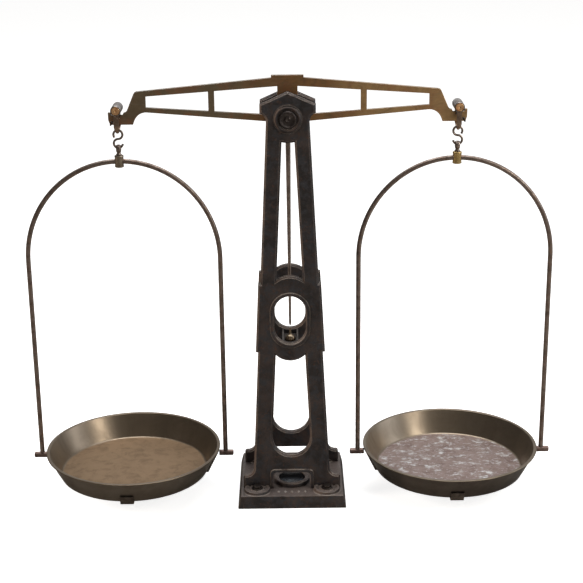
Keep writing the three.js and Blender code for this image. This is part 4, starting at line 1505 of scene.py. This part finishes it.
def shackleStrap():
    # a round bar below, flattened into straps that reach up to the tube
    s = shackleFacts
    turnZ = s["barZ"] + s["strapY"]
    rise = s["tubeZ"] - 2.6 - turnZ
    path = [(-s["strapY"], turnZ + rise * (1 - place / 8)) for place in range(8)]
    whole = path + arc(0, turnZ, s["strapY"], 180, 360, 24) + [(-y, z) for y, z in reversed(path)]
    bm = bmesh.new()
    sweep = [bmesh.ops.create_circle(bm, segments=16, radius=1)["verts"] for _ in whole]
    for place, (ring, (y, z)) in enumerate(zip(sweep, whole)):
        before = whole[max(place - 1, 0)]
        after = whole[min(place + 1, len(whole) - 1)]
        along = Vector((0, after[0] - before[0], after[1] - before[1])).normalized()
        sideways = Vector((1, 0, 0))
        across = along.cross(sideways)
        widen = 1 + min(max((z - s["barZ"]) / 8, 0), 1)
        for vert in ring:
            # the circle becomes nearly square-edged where the bar is flat
            square = 1 / max(abs(vert.co.x), abs(vert.co.y), 0.5)
            reach = 1 + (square - 1) * (widen - 1) * 0.75
            wide = sideways * (s["barWidth"] / 2) * widen * vert.co.x * reach
            thick = across * (s["strapThick"] / 2) * vert.co.y * reach
            vert.co = Vector((0, y, z)) + wide + thick
    for first, second in zip(sweep, sweep[1:]):
        edges = ringEdges(first) + ringEdges(second)
        bmesh.ops.bridge_loops(bm, edges=edges)
    for ring in (sweep[0], sweep[-1]):
        bmesh.ops.contextual_create(bm, geom=ring)
    bmesh.ops.recalc_face_normals(bm, faces=bm.faces)
    return bm


def plugShape(sign):
    s = shackleFacts
    half = s["plugLength"] / 2
    r = s["plug"]
    profile = [(0, -half), (r, -half), (r, half - 0.7), (r - 0.3, half - 0.2), (r - 0.9, half)]
    profile += [(r - 1.5, half - 0.15), (2, half - 0.4), (1.3, half - 1.1), (0, half - 1.7)]
    # the dimpled end faces outwards
    plug = turnBmesh(spun(profile, 40), 90 if sign < 0 else -90, "X")
    return moveBmesh(plug, y=sign * (s["tubeHalf"] - half), z=s["tubeZ"])


hookFacts = {"wire": 1.5, "loop": 5.8, "upperZ": 502.3, "gapStart": -40, "lowerTip": -172}


def hookShape(sign):
    h = hookFacts
    lowerTurn = 90 - h["lowerTip"]
    points = arc(0, h["upperZ"], h["loop"], h["gapStart"], 270, 48)
    points += arc(0, h["upperZ"] - 2 * h["loop"], h["loop"], 90, 90 - lowerTurn, 40)[1:]
    return bentWire([(sign * x, 0, z) for x, z in points], h["wire"], resolution=5)


eyeFacts = {
    "ring": 4,
    "wire": 1.3,
    "halfWidth": 3.1,
    "z": 484,
    "stem": 2.9,
    "pin": 2,
    "bottom": 472.3,
    "shoulder": 475.5,
}


def eyeShape():
    e = eyeFacts
    loop = bmesh.new()
    circle = bmesh.ops.create_circle(loop, segments=20, radius=1)["verts"]
    # an oval section, turned into a loop about X
    bmesh.ops.scale(loop, vec=(e["halfWidth"], e["wire"], 1), verts=circle)
    bmesh.ops.translate(loop, vec=(0, e["ring"], 0), verts=circle)
    turn = {"cent": (0, 0, 0), "axis": (1, 0, 0), "angle": 2 * math.pi}
    bmesh.ops.spin(loop, geom=loop.verts[:] + loop.edges[:], steps=48, use_merge=True, **turn)
    bmesh.ops.remove_doubles(loop, verts=loop.verts, dist=1e-4)
    bmesh.ops.recalc_face_normals(loop, faces=loop.faces)
    moveBmesh(loop, z=e["z"])
    low = e["shoulder"]
    pin = e["pin"]
    wide = e["stem"]
    stem = [(0, e["bottom"]), (pin, e["bottom"]), (pin, low), (wide + 0.8, low), (wide + 0.9, low + 0.6)]
    stem += [(wide + 0.5, low + 1.3), (wide - 0.2, low + 2), (wide - 0.3, low + 2.8)]
    stem += [(wide, low + 3.6), (wide - 0.6, low + 4.4), (0, low + 4.5)]
    return joinBmeshes([loop, spun(stem, 40)])


ferruleFacts = {"radius": 6, "bottom": 459.4, "top": 475.2, "pinHole": 2.3, "pinHoleBottom": 472}


def ferruleShape():
    f = ferruleFacts
    r = f["radius"]
    low = f["bottom"]
    top = f["top"]
    hole = f["pinHole"]
    profile = [(0, low), (r - 0.8, low), (r, low + 0.7), (r, low + 1.8), (r - 0.3, low + 2.2)]
    profile += [(r - 0.3, top - 2.6), (r, top - 2.2), (r, top - 0.7), (r - 0.8, top), (hole + 0.3, top)]
    profile += [(hole, top - 0.3), (hole, f["pinHoleBottom"]), (0, f["pinHoleBottom"])]
    return spun(profile, 56)


hangerFacts = {"wire": 3.2, "half": 127.5, "apex": 467.1, "rise": 133.9, "foot": 54.9}


def hangerShape():
    h = hangerFacts
    spring = h["apex"] - h["rise"]
    foot = h["foot"] - 0.6
    left = [(-h["half"], 0, foot + (spring - foot) * step / 10) for step in range(10)]
    angles = [math.pi * step / 96 for step in range(97)]
    arch = [(-h["half"] * math.cos(a), 0, spring + h["rise"] * math.sin(a)) for a in angles]
    right = [(-x, y, z) for x, y, z in reversed(left)]
    return bentWire(left + arch + right, h["wire"], resolution=7)


stubFacts = {"radius": 4, "z": 50.6, "inner": 118.6, "outer": 138.5}


def stubPin(sign):
    s = stubFacts
    r = s["radius"]
    inner = s["inner"]
    outer = s["outer"]
    profile = [(0, inner), (r - 0.5, inner), (r, inner + 0.5), (r, outer - 1.4)]
    profile += [(r - 0.4, outer - 0.5), (r - 1.3, outer), (0, outer)]
    pin = turnBmesh(spun(profile, 40), 90 * sign, "Y")
    return moveBmesh(pin, z=s["z"])


panFacts = {
    "floorZ": 27.4,
    "sheet": 2,
    "floorRadius": 100,
    "wallX": 102.4,
    "wallZ": 29.2,
    "lipX": 117.2,
    "lipZ": 59.4,
    "rim": 120,
    "top": 61.2,
}


def panShape():
    p = panFacts
    wallX, wallZ, lipX, lipZ = (p[key] for key in ("wallX", "wallZ", "lipX", "lipZ"))
    low = p["floorZ"]
    top = p["top"]
    flat = p["floorRadius"]
    length = math.hypot(lipX - wallX, lipZ - wallZ)
    inX = p["sheet"] * (lipZ - wallZ) / length
    inZ = p["sheet"] * (lipX - wallX) / length
    floorTop = low + p["sheet"]
    middle = ((wallX + lipX) / 2 + 0.35, (wallZ + lipZ) / 2)
    outside = [(0, low), (60, low), (flat - 2, low), (flat + 0.6, low + 0.2)]
    outside += [(wallX - 0.4, wallZ - 0.6), (wallX + 0.3, wallZ + 0.7), middle, (lipX, lipZ - 0.4)]
    radius = (top - lipZ) / 2
    angles = [math.pi * (step / 8 - 0.5) for step in range(9)]
    lip = [(p["rim"] - radius + radius * math.cos(a), lipZ + radius + radius * math.sin(a)) for a in angles]
    inside = [(lipX - inX + 0.9, top), (lipX - inX - 0.1, top - 0.7), (middle[0] - inX, middle[1] + inZ)]
    inside += [(wallX - inX + 0.6, wallZ + inZ + 1.4), (wallX - inX - 0.5, wallZ + inZ - 0.1)]
    inside += [(flat - 1.6, floorTop + 0.15), (flat - 4, floorTop), (60, floorTop), (0, floorTop)]
    return spun(outside + lip + inside, 144)


def sidePiece(side, bm, name, material, body, nodes):
    moveBmesh(bm, sides[side] * arm)
    nodes = [side + "_" + node for node in nodes]
    finishPiece(bm, side + "_" + name, material, side + "_" + body, nodes)


def makeSide(side):
    sign = sides[side]
    sidePiece(side, shackleTube(), "shackle_tube", "tubeSteel", "shackle", ["shackle"])
    sidePiece(side, shackleStrap(), "shackle_strap", "strapSteel", "shackle", [])
    for end, way in (("front", -1), ("back", 1)):
        plug = "shackle_" + end + "_plug"
        sidePiece(side, plugShape(way), end + "_plug_end", "copper", "shackle", [plug])
    sidePiece(side, hookShape(sign), "hook_wire", "linkSteel", "hook", ["s_hook"])
    sidePiece(side, eyeShape(), "eye_link", "linkSteel", "eye", ["swivel_eye"])
    brass = side + "FerruleBrass"
    sidePiece(side, ferruleShape(), "ferrule_turned", brass, "hanger", ["ferrule"])
    sidePiece(side, hangerShape(), "wire_arch", "wireSteel", "hanger", ["hanger_wire"])
    sidePiece(side, stubPin(sign), "outer_stub", "pinSteel", "hanger", ["outer_stub_pin"])
    sidePiece(side, stubPin(-sign), "inner_stub", "pinSteel", "hanger", ["inner_stub_pin"])
    sidePiece(side, panShape(), "pan_spun", side + "Pan", "pan", ["pan"])
    softenedNode(side + "_pan_cradle", "cradleSteel", side + "_hanger", 0.6)


for sideName in sides:
    makeSide(sideName)
print("hangers and pans made")
